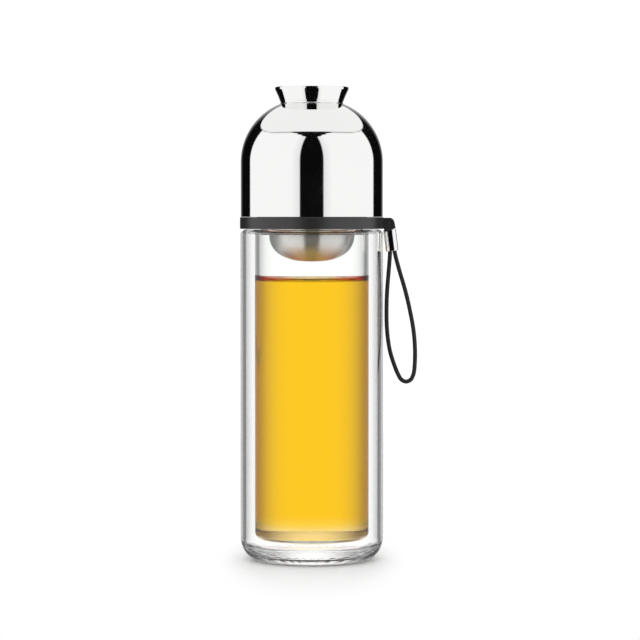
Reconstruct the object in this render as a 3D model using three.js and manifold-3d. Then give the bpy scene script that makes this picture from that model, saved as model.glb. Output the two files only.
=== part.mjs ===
// A tea infuser bottle: a double-wall glass body, a double-wall steel cup that screws on upside down
// as the lid, a steel tea infuser that hangs in the neck, and a cord strap on a plastic ring that
// swivels round the neck.
// Millimetres, +Z up. The origin is the centre of the base, and the strap's lug points along +X.
import * as THREE from "three";
import { mergeVertices } from "three/addons/utils/BufferGeometryUtils.js";
import Module from "manifold-3d";

const wasm = await Module();
wasm.setup();

// Fineness of round surfaces
const SIDES = 36;
const CORNER_STEPS = 4;
const OVAL_STEPS = 8;
const PLATE_STEPS = 12;
const MERGE_DISTANCE = 1e-4;
const DOME_STEPS = 8;

// Clearances
const SEAT_GAP = 0.3;
const THREAD_PLAY = 0.4;
const SEAL_PLAY = 0.6;

// Outer glass
const GLASS_RADIUS = 34;
const GLASS_WALL = 2.5;
const BASE_THICKNESS = 6.8;
const FOOT_CORNER_WIDTH = 8.5;
const FOOT_CORNER_HEIGHT = 11;
const BASE_FILLET = 3;
const SHOULDER_TOP = 157.2;
const SHOULDER_THICKNESS = 1.6;
const SHOULDER_CORNER = 2.6;
const SHOULDER_FILLET = 1;

// Inner glass: a tube that hangs inside the outer glass and ends in the neck
const AIR_GAP = 4.35;
const BASE_AIR_GAP = 3.1;
const INNER_WALL = 2;
const INNER_FLOOR = 2;
const INNER_CORNER = 3.4;
const NECK_STEP = 3.15;
const NECK_WALL = 2.5;
const NECK_HEIGHT = 13.4;

// Threaded collar, bonded round the neck
const COLLAR_WALL = 1.9;
const COLLAR_OVER_NECK = 0.4;
const COLLAR_CHAMFER = 0.5;
const HUB_WALL = 5.2;
const HUB_HEIGHT = 5.1;
const HUB_LIP = 1.1;
const HUB_LIP_HEIGHT = 1;

// Two-start right-hand thread
const THREAD_STARTS = 2;
const THREAD_LEAD = 8;
const THREAD_DEPTH = 1.3;
const RIDGE_ROOT_WIDTH = 1.8;
const RIDGE_CREST_WIDTH = 1;
const RIDGE_BITE = 0.4;
const RIDGE_CORNERS = 4;
const RIDGE_RUN_OUT = 2;
const RIDGE_END_ROOM = 0.3;

// Strap ring with its forked lug
const RING_PROUD = 0.2;
const RING_HEIGHT = 5.4;
const RING_EDGE = 0.4;
const PIN_OUT_FROM_RING = 2.4;
const PIN_ABOVE_RING_FOOT = 2.7;
const PIN_RADIUS = 0.8;
const PIN_SIDES = 16;
const LUG_WIDTH = 7.4;
const LUG_TOP_DROP = 0.1;
const LUG_ROOT_DEPTH = 1.2;
const LUG_TOP_LENGTH = 1;
const LUG_BROW = [2.2, 1.75];
const LUG_NOSE = [2.75, 0.3];
const LUG_CHIN = [3.25, -2.3];
const LUG_TAIL_DROP = 4.25;
const TONGUE_RADIUS = 1.6;

// Strap: a ferrule that hangs on the pin, and a loop of cord
const STRAP_TILT = THREE.MathUtils.degToRad(7);
const FERRULE_DROP = 2.95;
const FERRULE_LENGTH = 10.4;
const FERRULE_WIDTH = 6.1;
const FERRULE_DEPTH = 4.6;
const FERRULE_WALL = 0.7;
const FERRULE_MOUTH_DEPTH = 1.5;
const CORD_DIAMETER = 2;
const CORD_SIDES = 8;
const CORD_STEPS = 72;

// Route of the cord in the strap's plane, from the ferrule's mouth round the loop and back,
// measured from the pin
const CORD_ROUTE = [
  [0.5, -12.15],
  [0.62, -13.4],
  [0.54, -15.6],
  [0.05, -22.3],
  [-0.7, -31.8],
  [-1, -41.3],
  [-0.75, -50.9],
  [0.55, -60.4],
  [2.7, -67.5],
  [4.55, -72],
  [6.1, -74.5],
  [8.3, -75.5],
  [10.5, -74.6],
  [11.8, -72.2],
  [12.35, -69],
  [12.6, -60.4],
  [11.85, -50.9],
  [10.1, -41.3],
  [7.85, -31.8],
  [5.05, -22.3],
  [3.25, -15.6],
  [2.75, -13.1],
  [2.6, -11.9],
];

// Lid: an outer and an inner steel shell, a flared foot, a threaded insert and a seal
const LID_INSET = 0.2;
const LID_WALL_HEIGHT = 26.05;
const DOME_RADIUS = 29.6;
const SHELL_WALL = 0.8;
const SHELL_GAP = 2;
const LID_LIP_HEIGHT = 0.8;
const FOOT_WAIST_RADIUS = 14.8;
const FOOT_RIM_RADIUS = 17.5;
const FOOT_HEIGHT = 7.6;
const FOOT_WALL = 1.1;
const FOOT_RIM_HEIGHT = 1.2;
const FOOT_RIM_EDGE = 0.4;
const FOOT_FLARE_STEPS = 4;
const FOOT_FLARE_BOW = 0.1;
const SEAL_THICKNESS = 1.4;
const INSERT_SHELF = 1.6;

// Infuser: a flanged steel basket with a perforated bowl, and its gasket
const BASKET_CLEARANCE = 1.1;
const BASKET_WALL = 0.6;
const BASKET_DEPTH = 31.2;
const BOWL_DEPTH = 14;
const BOWL_STEPS = 7;
const BOWL_FULLNESS = 2.5;
const FLANGE_WIDTH = 3.3;
const FLANGE_THICKNESS = 0.8;
const GASKET_THICKNESS = 1.2;
const GASKET_PLUG_DEPTH = 2.6;
const HOLE_RADIUS = 0.6;
const HOLE_PITCH = 2.8;
const HOLE_RINGS = 3;
const HOLES_PER_RING = 6;
const HOLE_SIDES = 6;

// Radii worked out from the outside of the glass inwards
const innerRadius = GLASS_RADIUS - GLASS_WALL - AIR_GAP;
const neckRadius = innerRadius - NECK_STEP;
const neckBore = neckRadius - NECK_WALL;
const collarBore = neckRadius + SEAT_GAP;
const collarRadius = collarBore + COLLAR_WALL;
const hubRadius = collarBore + HUB_WALL;
const threadCrest = collarRadius + THREAD_DEPTH;
const insertBore = threadCrest + THREAD_PLAY;
const insertCrest = insertBore - THREAD_DEPTH;
const ringRadius = GLASS_RADIUS + RING_PROUD;
const lidRadius = GLASS_RADIUS - LID_INSET;
const innerShellRadius = lidRadius - SHELL_WALL - SHELL_GAP;
const insertRadius = innerShellRadius - SHELL_WALL - SEAT_GAP;
const domeCentreRadius = lidRadius - DOME_RADIUS;
const basketRadius = neckBore - BASKET_CLEARANCE;
const flangeRadius = basketRadius + FLANGE_WIDTH;
const sealBore = flangeRadius + SEAL_PLAY;

// Heights worked out from the base upwards
const innerFoot = BASE_THICKNESS + BASE_AIR_GAP;
const neckTop = SHOULDER_TOP + NECK_HEIGHT;
const collarFoot = SHOULDER_TOP + SEAT_GAP;
const collarTop = neckTop + COLLAR_OVER_NECK;
const hubTop = collarFoot + HUB_HEIGHT;
const ringFoot = SHOULDER_TOP + SEAT_GAP;
const ringTop = ringFoot + RING_HEIGHT;
const lidFoot = ringTop + SEAT_GAP;
const domeCentreHeight = lidFoot + LID_WALL_HEIGHT;
const sealFoot = collarTop + SEAT_GAP;
const shelfFoot = sealFoot + SEAL_THICKNESS + SEAT_GAP;
const insertFoot = lidFoot + SEAT_GAP;
const insertTop = shelfFoot + INSERT_SHELF;
const gasketFoot = neckTop + SEAT_GAP;
const flangeFoot = gasketFoot + GASKET_THICKNESS + SEAT_GAP;
const flangeTop = flangeFoot + FLANGE_THICKNESS;
const bowlBottom = flangeTop - BASKET_DEPTH;
const bowlRim = bowlBottom + BOWL_DEPTH;

// Base heights of the two helices. The lid's ridges lie just under the collar's, where a tightened
// lid pulls on them.
const insertHelix = insertFoot;
const collarHelix = insertHelix + (RIDGE_ROOT_WIDTH + RIDGE_CREST_WIDTH) / 2 + THREAD_PLAY;

// Place of the strap's pin, which lies along Y
const pinOut = ringRadius + PIN_OUT_FROM_RING;
const pinHeight = ringFoot + PIN_ABOVE_RING_FOOT;

// Finishes
const clearGlass = new THREE.MeshStandardMaterial({
  color: 0xf2f6f4,
  roughness: 0.02,
  metalness: 0,
  transparent: true,
  opacity: 0.3,
});
const polishedSteel = new THREE.MeshStandardMaterial({ color: 0xdcdcda, roughness: 0.05, metalness: 1 });
const satinSteel = new THREE.MeshStandardMaterial({ color: 0xb9b7b2, roughness: 0.35, metalness: 1 });
const blackPlastic = new THREE.MeshStandardMaterial({ color: 0x1c1c1d, roughness: 0.45, metalness: 0 });
const paleSilicone = new THREE.MeshStandardMaterial({ color: 0xd9d9d4, roughness: 0.6, metalness: 0 });
const blackCord = new THREE.MeshStandardMaterial({ color: 0x161617, roughness: 0.65, metalness: 0 });

// Points on an ellipse's arc from one angle to another, both ends included.
function arc(centreX, centreY, radiusX, radiusY, from, to, steps = CORNER_STEPS) {
  return Array.from({ length: steps + 1 }, (_, i) => {
    const angle = from + ((to - from) * i) / steps;
    return [centreX + radiusX * Math.cos(angle), centreY + radiusY * Math.sin(angle)];
  });
}

const QUARTER = Math.PI / 2;

// A solid of revolution about Z from a closed outline of [radius, height] points, given anticlockwise.
function turned(outline) {
  const closed = [...outline, outline[0]];
  const points = closed.map(([radius, height]) => new THREE.Vector2(Math.max(radius, 0), height));
  return new THREE.LatheGeometry(points, SIDES).rotateX(QUARTER);
}

// A closed geometry as a solid that can be joined and cut.
function solidOf(geometry) {
  const bare = geometry.clone();
  bare.deleteAttribute("normal");
  bare.deleteAttribute("uv");
  const merged = mergeVertices(bare, MERGE_DISTANCE);
  const vertProperties = new Float32Array(merged.attributes.position.array);
  const triVerts = new Uint32Array(merged.index.array);
  return new wasm.Manifold(new wasm.Mesh({ numProp: 3, vertProperties, triVerts }));
}

// A solid's surface as a geometry.
function geometryOf(solid) {
  const { vertProperties, triVerts } = solid.getMesh();
  const geometry = new THREE.BufferGeometry();
  geometry.setAttribute("position", new THREE.BufferAttribute(vertProperties, 3));
  geometry.setIndex(new THREE.BufferAttribute(triVerts, 1));
  geometry.computeVertexNormals();
  return geometry;
}

// A flat outline in the XZ plane, drawn as a THREE.Shape, made a plate of the given thickness about y = 0.
function plate(shape, thickness) {
  const geometry = new THREE.ExtrudeGeometry(shape, {
    depth: thickness,
    bevelEnabled: false,
    curveSegments: PLATE_STEPS,
  });
  return geometry.rotateX(QUARTER).translate(0, thickness / 2, 0);
}

// A round bar along Y through the origin.
function barAlongY(radius, length) {
  return new THREE.CylinderGeometry(radius, radius, length, PIN_SIDES);
}

// A helical ridge of trapezoid section, climbing from one height to another on the helix through
// the base height.
// Its foot sinks into the wall, and its crest runs out at both ends.
function threadRidge({ foot, crest, startAngle, helixBase, from, to }) {
  const positions = [];
  const indices = [];
  const stepAngle = (2 * Math.PI) / SIDES;
  const stepRise = THREAD_LEAD / SIDES;
  const firstStep = Math.ceil((from + RIDGE_ROOT_WIDTH / 2 + RIDGE_END_ROOM - helixBase) / stepRise);
  const lastStep = Math.floor((to - RIDGE_ROOT_WIDTH / 2 - RIDGE_END_ROOM - helixBase) / stepRise);
  for (let i = firstStep; i <= lastStep; i += 1) {
    const angle = startAngle + i * stepAngle;
    const height = helixBase + i * stepRise;
    const full = Math.min(1, (i - firstStep + 1) / RIDGE_RUN_OUT, (lastStep - i + 1) / RIDGE_RUN_OUT);
    const peak = foot + (crest - foot) * full;
    const corners = [
      [foot, -RIDGE_ROOT_WIDTH / 2],
      [peak, -RIDGE_CREST_WIDTH / 2],
      [peak, RIDGE_CREST_WIDTH / 2],
      [foot, RIDGE_ROOT_WIDTH / 2],
    ];
    for (const [radius, rise] of corners) {
      positions.push(radius * Math.cos(angle), radius * Math.sin(angle), height + rise);
    }
  }
  const outwards = crest > foot;
  const addTriangle = (a, b, c) => indices.push(a, outwards ? b : c, outwards ? c : b);
  const last = positions.length / 3 - RIDGE_CORNERS;
  for (let corner = 0; corner < last; corner += RIDGE_CORNERS) {
    for (let side = 0; side < RIDGE_CORNERS; side += 1) {
      const a = corner + side;
      const b = corner + ((side + 1) % RIDGE_CORNERS);
      addTriangle(a, a + RIDGE_CORNERS, b);
      addTriangle(b, a + RIDGE_CORNERS, b + RIDGE_CORNERS);
    }
  }
  addTriangle(0, 1, 2);
  addTriangle(0, 2, 3);
  addTriangle(last, last + 2, last + 1);
  addTriangle(last, last + 3, last + 2);
  const geometry = new THREE.BufferGeometry();
  geometry.setAttribute("position", new THREE.Float32BufferAttribute(positions, 3));
  geometry.setIndex(indices);
  return geometry;
}

// The body with one thread ridge for each start joined to it.
function withThread(body, ridge) {
  let solid = solidOf(body);
  for (let start = 0; start < THREAD_STARTS; start += 1) {
    const startAngle = (2 * Math.PI * start) / THREAD_STARTS;
    solid = solid.add(solidOf(threadRidge({ ...ridge, startAngle })));
  }
  return geometryOf(solid);
}

// Height of the dome's outside at a radius.
function domeHeight(radius) {
  const out = Math.max(radius - domeCentreRadius, 0);
  return domeCentreHeight + Math.sqrt(DOME_RADIUS ** 2 - out ** 2);
}

function outerGlass() {
  const wallInside = GLASS_RADIUS - GLASS_WALL;
  const plateFoot = SHOULDER_TOP - SHOULDER_THICKNESS;
  const plateEdge = innerRadius + SEAT_GAP;
  const cornerHeight = SHOULDER_TOP - SHOULDER_CORNER;
  return turned([
    [0, 0],
    ...arc(
      GLASS_RADIUS - FOOT_CORNER_WIDTH,
      FOOT_CORNER_HEIGHT,
      FOOT_CORNER_WIDTH,
      FOOT_CORNER_HEIGHT,
      -QUARTER,
      0,
    ),
    ...arc(GLASS_RADIUS - SHOULDER_CORNER, cornerHeight, SHOULDER_CORNER, SHOULDER_CORNER, 0, QUARTER),
    [plateEdge, SHOULDER_TOP],
    [plateEdge, plateFoot],
    ...arc(
      wallInside - SHOULDER_FILLET,
      plateFoot - SHOULDER_FILLET,
      SHOULDER_FILLET,
      SHOULDER_FILLET,
      QUARTER,
      0,
    ),
    ...arc(wallInside - BASE_FILLET, BASE_THICKNESS + BASE_FILLET, BASE_FILLET, BASE_FILLET, 0, -QUARTER),
    [0, BASE_THICKNESS],
  ]);
}

function innerGlass() {
  const tubeBore = innerRadius - INNER_WALL;
  const boreCorner = INNER_CORNER - INNER_WALL;
  const floorTop = innerFoot + INNER_FLOOR;
  const ceiling = SHOULDER_TOP - SHOULDER_THICKNESS;
  return turned([
    [0, innerFoot],
    ...arc(innerRadius - INNER_CORNER, innerFoot + INNER_CORNER, INNER_CORNER, INNER_CORNER, -QUARTER, 0),
    [innerRadius, SHOULDER_TOP],
    [neckRadius, SHOULDER_TOP],
    [neckRadius, neckTop],
    [neckBore, neckTop],
    [neckBore, ceiling],
    ...arc(
      tubeBore - SHOULDER_FILLET,
      ceiling - SHOULDER_FILLET,
      SHOULDER_FILLET,
      SHOULDER_FILLET,
      QUARTER,
      0,
    ),
    ...arc(tubeBore - boreCorner, floorTop + boreCorner, boreCorner, boreCorner, 0, -QUARTER),
    [0, floorTop],
  ]);
}

function threadCollar() {
  const body = turned([
    [collarBore, collarFoot],
    [hubRadius, collarFoot],
    [hubRadius, hubTop - HUB_LIP_HEIGHT],
    [hubRadius + HUB_LIP, hubTop - HUB_LIP_HEIGHT],
    [hubRadius + HUB_LIP, hubTop],
    [collarRadius, hubTop],
    [collarRadius, collarTop - COLLAR_CHAMFER],
    [collarRadius - COLLAR_CHAMFER, collarTop],
    [collarBore, collarTop],
  ]);
  return withThread(body, {
    foot: collarRadius - RIDGE_BITE,
    crest: threadCrest,
    helixBase: collarHelix,
    from: hubTop,
    to: collarTop - COLLAR_CHAMFER,
  });
}

function strapRing() {
  const bore = hubRadius + SEAT_GAP;
  const counterBore = hubRadius + HUB_LIP + SEAT_GAP;
  const counterFoot = hubTop - HUB_LIP_HEIGHT - SEAT_GAP;
  const ring = turned([
    [bore, ringFoot],
    [ringRadius - RING_EDGE, ringFoot],
    [ringRadius, ringFoot + RING_EDGE],
    [ringRadius, ringTop - RING_EDGE],
    [ringRadius - RING_EDGE, ringTop],
    [counterBore, ringTop],
    [counterBore, counterFoot],
    [bore, counterFoot],
  ]);

  // The lug's outline goes down from its root to a tail beside the shoulder, and back up round its
  // nose to its flat top.
  const lugTop = ringTop - LUG_TOP_DROP;
  const lugRoot = ringRadius - LUG_ROOT_DEPTH;
  const tailOut = ringRadius + SEAT_GAP;
  const lugOutline = new THREE.Shape();
  lugOutline.moveTo(lugRoot, lugTop);
  lugOutline.lineTo(lugRoot, ringFoot);
  lugOutline.lineTo(tailOut, ringFoot);
  lugOutline.lineTo(tailOut, pinHeight - LUG_TAIL_DROP);
  for (const [out, up] of [LUG_CHIN, LUG_NOSE, LUG_BROW]) {
    lugOutline.lineTo(pinOut + out, pinHeight + up);
  }
  lugOutline.lineTo(pinOut + LUG_TOP_LENGTH, lugTop);
  const lug = plate(lugOutline, LUG_WIDTH);

  // The slot leaves only the lug's two ears outside the ring, with room between them for the ferrule's head.
  const slotLength = 2 * LUG_WIDTH;
  const slotWidth = FERRULE_DEPTH + 2 * SEAT_GAP;
  const slot = new THREE.BoxGeometry(slotLength, slotWidth, 2 * LUG_WIDTH);
  slot.translate(ringRadius + slotLength / 2, 0, pinHeight);
  const pinHole = barAlongY(PIN_RADIUS + SEAT_GAP, 2 * LUG_WIDTH).translate(pinOut, 0, pinHeight);

  const solid = solidOf(ring).add(solidOf(lug)).subtract(solidOf(slot)).subtract(solidOf(pinHole));
  return geometryOf(solid);
}

// The ferrule in its own frame: the pin at the origin, hanging down along -Z.
function strapFerrule() {
  const tongueOutline = new THREE.Shape();
  tongueOutline.moveTo(-TONGUE_RADIUS, -FERRULE_DROP - FERRULE_WALL);
  tongueOutline.lineTo(TONGUE_RADIUS, -FERRULE_DROP - FERRULE_WALL);
  tongueOutline.absarc(0, 0, TONGUE_RADIUS, 0, Math.PI, false);
  const tongue = plate(tongueOutline, FERRULE_DEPTH);

  const barrel = ovalBar(FERRULE_WIDTH, FERRULE_DEPTH, FERRULE_LENGTH);
  barrel.translate(0, 0, -FERRULE_DROP - FERRULE_LENGTH);
  const mouthWidth = FERRULE_WIDTH - 2 * FERRULE_WALL;
  const mouth = ovalBar(mouthWidth, FERRULE_DEPTH - 2 * FERRULE_WALL, 2 * FERRULE_MOUTH_DEPTH);
  mouth.translate(0, 0, -FERRULE_DROP - FERRULE_LENGTH - FERRULE_MOUTH_DEPTH);
  const pinHole = barAlongY(PIN_RADIUS + SEAT_GAP, 2 * FERRULE_DEPTH);

  const solid = solidOf(tongue).add(solidOf(barrel)).subtract(solidOf(mouth)).subtract(solidOf(pinHole));
  return geometryOf(solid);
}

// An upright bar whose section is an oval with straight sides and round ends, standing on z = 0.
function ovalBar(width, depth, height) {
  const endRadius = depth / 2;
  const endOut = (width - depth) / 2;
  const outline = new THREE.Shape();
  outline.absarc(endOut, 0, endRadius, -QUARTER, QUARTER, false);
  outline.absarc(-endOut, 0, endRadius, QUARTER, 3 * QUARTER, false);
  const settings = { depth: height, bevelEnabled: false, curveSegments: OVAL_STEPS };
  return new THREE.ExtrudeGeometry(outline, settings);
}

// The cord as a tube along its route, with the pin at the origin.
function strapLoop() {
  const route = new THREE.CatmullRomCurve3(CORD_ROUTE.map(([out, up]) => new THREE.Vector3(out, 0, up)));
  const section = new THREE.Shape();
  const radius = CORD_DIAMETER / 2;
  const angles = Array.from({ length: CORD_SIDES }, (_, i) => (2 * Math.PI * i) / CORD_SIDES);
  section.setFromPoints(
    angles.map((angle) => new THREE.Vector2(radius * Math.cos(angle), radius * Math.sin(angle))),
  );
  return new THREE.ExtrudeGeometry(section, { steps: CORD_STEPS, extrudePath: route, bevelEnabled: false });
}

// A shell of the lid: a straight wall under a dome that is flat on top, with the lip's points at its mouth.
function domedShell(outsideRadius, mouth) {
  const outsideArc = DOME_RADIUS - (lidRadius - outsideRadius);
  const insideArc = outsideArc - SHELL_WALL;
  return turned([
    ...arc(domeCentreRadius, domeCentreHeight, outsideArc, outsideArc, 0, QUARTER, DOME_STEPS),
    [0, domeCentreHeight + outsideArc],
    [0, domeCentreHeight + insideArc],
    ...arc(domeCentreRadius, domeCentreHeight, insideArc, insideArc, QUARTER, 0, DOME_STEPS),
    ...mouth,
  ]);
}

function lidOuterShell() {
  const wallInside = lidRadius - SHELL_WALL;
  const lipEdge = innerShellRadius + SEAT_GAP;
  return domedShell(lidRadius, [
    [wallInside, lidFoot + LID_LIP_HEIGHT],
    [lipEdge, lidFoot + LID_LIP_HEIGHT],
    [lipEdge, lidFoot],
    [lidRadius, lidFoot],
  ]);
}

function lidInnerShell() {
  return domedShell(innerShellRadius, [
    [innerShellRadius - SHELL_WALL, lidFoot],
    [innerShellRadius, lidFoot],
  ]);
}

// The flared foot stands on the dome. Its outside bows out from the waist to the rim.
function lidFootRing() {
  const foot = domeHeight(FOOT_WAIST_RADIUS) + SEAT_GAP;
  const top = foot + FOOT_HEIGHT;
  const rimFoot = top - FOOT_RIM_HEIGHT;
  const flare = Array.from({ length: FOOT_FLARE_STEPS + 1 }, (_, i) => {
    const up = i / FOOT_FLARE_STEPS;
    const bow = FOOT_FLARE_BOW * Math.sin(Math.PI * up);
    const radius = FOOT_WAIST_RADIUS + (FOOT_RIM_RADIUS - FOOT_WAIST_RADIUS) * up - bow;
    return [radius, foot + (rimFoot - foot) * up];
  });
  const inside = flare.map(([radius, height]) => [radius - FOOT_WALL, height]).reverse();
  const insideFoot = domeHeight(FOOT_WAIST_RADIUS - FOOT_WALL) + SEAT_GAP;
  inside[inside.length - 1][1] = insideFoot;
  return turned([
    ...flare,
    [FOOT_RIM_RADIUS, top - FOOT_RIM_EDGE],
    [FOOT_RIM_RADIUS - FOOT_RIM_EDGE, top],
    [FOOT_RIM_RADIUS - FOOT_WALL, top],
    ...inside,
  ]);
}

function lidThreadInsert() {
  const body = turned([
    [insertBore, insertFoot],
    [insertRadius, insertFoot],
    [insertRadius, insertTop],
    [sealBore - SEAT_GAP, insertTop],
    [sealBore - SEAT_GAP, shelfFoot],
    [insertBore, shelfFoot],
  ]);
  return withThread(body, {
    foot: insertBore + RIDGE_BITE,
    crest: insertCrest,
    helixBase: insertHelix,
    from: insertFoot,
    to: sealFoot,
  });
}

function lidSeal() {
  const sealRadius = insertBore - SEAT_GAP;
  return turned([
    [sealBore, sealFoot],
    [sealRadius, sealFoot],
    [sealRadius, sealFoot + SEAL_THICKNESS],
    [sealBore, sealFoot + SEAL_THICKNESS],
  ]);
}

// Points on a quarter of a superellipse, from the bowl's middle up to its brim.
function bowlArc(radius, depth) {
  const power = 2 / BOWL_FULLNESS;
  return Array.from({ length: BOWL_STEPS + 1 }, (_, i) => {
    const angle = (QUARTER * i) / BOWL_STEPS;
    return [radius * Math.sin(angle) ** power, bowlRim - depth * Math.max(Math.cos(angle), 0) ** power];
  });
}

function infuserBasket() {
  const bore = basketRadius - BASKET_WALL;
  const boreDepth = BOWL_DEPTH - BASKET_WALL;
  const basket = turned([
    ...bowlArc(basketRadius, BOWL_DEPTH),
    [basketRadius, flangeFoot],
    [flangeRadius, flangeFoot],
    [flangeRadius, flangeTop],
    [bore, flangeTop],
    ...bowlArc(bore, boreDepth).reverse(),
  ]);
  let solid = solidOf(basket);
  for (let ring = 0; ring <= HOLE_RINGS; ring += 1) {
    const count = Math.max(1, HOLES_PER_RING * ring);
    for (let i = 0; i < count; i += 1) {
      const angle = (2 * Math.PI * i) / count;
      const out = HOLE_PITCH * ring;
      const drill = new THREE.CylinderGeometry(HOLE_RADIUS, HOLE_RADIUS, BOWL_DEPTH, HOLE_SIDES);
      drill.rotateX(QUARTER).translate(out * Math.cos(angle), out * Math.sin(angle), bowlBottom);
      solid = solid.subtract(solidOf(drill));
    }
  }
  return geometryOf(solid);
}

function infuserGasket() {
  const gasketBore = basketRadius + SEAT_GAP;
  const plugRadius = neckBore - SEAT_GAP;
  return turned([
    [gasketBore, neckTop - GASKET_PLUG_DEPTH],
    [plugRadius, neckTop - GASKET_PLUG_DEPTH],
    [plugRadius, gasketFoot],
    [flangeRadius, gasketFoot],
    [flangeRadius, gasketFoot + GASKET_THICKNESS],
    [gasketBore, gasketFoot + GASKET_THICKNESS],
  ]);
}

// A named mesh with its own copy of a finish.
function piece(name, geometry, finish) {
  const mesh = new THREE.Mesh(geometry, finish.clone());
  mesh.name = name;
  return mesh;
}

const bottle = new THREE.Group();
bottle.add(
  piece("outer_glass", outerGlass(), clearGlass),
  piece("inner_glass", innerGlass(), clearGlass),
  piece("thread_collar", threadCollar(), blackPlastic),
);

const strap = new THREE.Group();
strap.position.set(pinOut, 0, pinHeight);
const ferrule = piece("strap_ferrule", strapFerrule(), polishedSteel);
ferrule.rotation.y = -STRAP_TILT;
strap.add(
  piece("strap_pin", barAlongY(PIN_RADIUS, LUG_WIDTH), blackPlastic),
  ferrule,
  piece("strap_loop", strapLoop(), blackCord),
);
bottle.add(piece("strap_ring", strapRing(), blackPlastic), strap);

const lid = new THREE.Group();
lid.add(
  piece("lid_outer_shell", lidOuterShell(), polishedSteel),
  piece("lid_inner_shell", lidInnerShell(), satinSteel),
  piece("lid_foot_ring", lidFootRing(), polishedSteel),
  piece("lid_thread_insert", lidThreadInsert(), blackPlastic),
  piece("lid_seal", lidSeal(), paleSilicone),
);
bottle.add(lid);

const infuser = new THREE.Group();
infuser.add(
  piece("infuser_basket", infuserBasket(), satinSteel),
  piece("infuser_gasket", infuserGasket(), paleSilicone),
);
bottle.add(infuser);

export default bottle;
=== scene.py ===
"""Tea infuser bottle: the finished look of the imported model.

Every visible piece is worked out as a smooth surface in the model's own frame, in metres, with +Z up the
bottle's axis and +X towards the strap's lug. The sizes and colours that a user would change are in the
property groups.
"""
import math

import bpy
import numpy as np
from bpy.props import FloatProperty, FloatVectorProperty, IntProperty, PointerProperty
from bpy.types import Operator, Panel, PropertyGroup
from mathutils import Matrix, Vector


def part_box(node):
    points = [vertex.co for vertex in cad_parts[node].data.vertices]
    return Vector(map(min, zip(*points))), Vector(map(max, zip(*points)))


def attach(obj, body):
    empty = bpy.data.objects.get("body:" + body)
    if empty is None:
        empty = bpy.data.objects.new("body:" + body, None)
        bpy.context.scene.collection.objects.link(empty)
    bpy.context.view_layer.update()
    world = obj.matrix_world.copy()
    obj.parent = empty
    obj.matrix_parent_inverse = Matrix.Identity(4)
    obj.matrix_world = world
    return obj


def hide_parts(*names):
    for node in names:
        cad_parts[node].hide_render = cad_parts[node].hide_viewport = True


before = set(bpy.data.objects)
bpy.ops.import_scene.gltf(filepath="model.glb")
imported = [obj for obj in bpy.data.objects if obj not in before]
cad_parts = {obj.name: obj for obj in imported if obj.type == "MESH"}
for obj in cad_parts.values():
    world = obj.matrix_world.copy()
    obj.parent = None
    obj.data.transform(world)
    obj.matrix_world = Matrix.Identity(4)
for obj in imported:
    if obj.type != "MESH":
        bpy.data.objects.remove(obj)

bl_info = {
    "name": "Tea infuser bottle",
    "version": (1, 0, 0),
    "blender": (4, 5, 0),
    "location": "3D View > Sidebar > Bottle",
    "description": "Builds the pieces, finishes and stage of a double-wall tea infuser bottle",
    "category": "Object",
}

QUARTER = math.pi / 2
SHARP_ANGLE = math.radians(40)

# Numbers of steps: round a turned piece, along its curves and small edges, and on the smaller parts
AROUND = 160
ARC_STEPS = 14
EDGE_STEPS = 5
PLATE_AROUND = 96
LUG_AROUND = 240
PIN_AROUND = 32
OVAL_STEPS = 20
CORD_AROUND = 20
ROUTE_STEPS = 8
FLARE_STEPS = 24
MENISCUS_STEPS = 40

# How an outline is refined: a point's distance from a corner, the shortest side that gets such points, and
# the longest plain side and threaded side
HOLD = 0.00015
HELD_SIDE = 4 * HOLD
LONG_SIDE = 0.006
THREAD_SIDE = 0.00014

# What counts as nothing: distances from the axis and a wall, a share, and a cross product of directions
ON_AXIS = HOLD / 10
ON_WALL = 1e-7
MARGIN = 1e-6
PARALLEL = 1e-12

# Shapes: the bowl's first angle, where the meniscus starts for a width of one, how the base's waves wander,
# where the weld bead starts, the span of a plate in edges, and the holes in the first ring
BOWL_START = 0.01
MENISCUS_START = 0.05
WAVE_BEND = 2
WAVE_BEND_COUNT = 3
BEAD_START = math.radians(-105)
PLATE_SPAN = 10
FIRST_RING_HOLES = 6

# The range of a noise mask and the detail of each kind of mark
MASK_LOW = 0.3
MASK_HIGH = 0.7
SPECK_DETAIL = 2
SMUDGE_DETAIL = 4
LINE_DETAIL = 3

# Glass and tea
CLEAR = {"Transmission Weight": 1, "Specular Tint": (0, 0, 0, 1)}
WHITE = (1, 1, 1, 1)
GLASS_IOR = 1.47
GLASS_HAZE = 0.002
GLASS_RIPPLE = 0.00001
TEA_IOR = 1.333
TEA_RIPPLE = 0.00002

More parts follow.
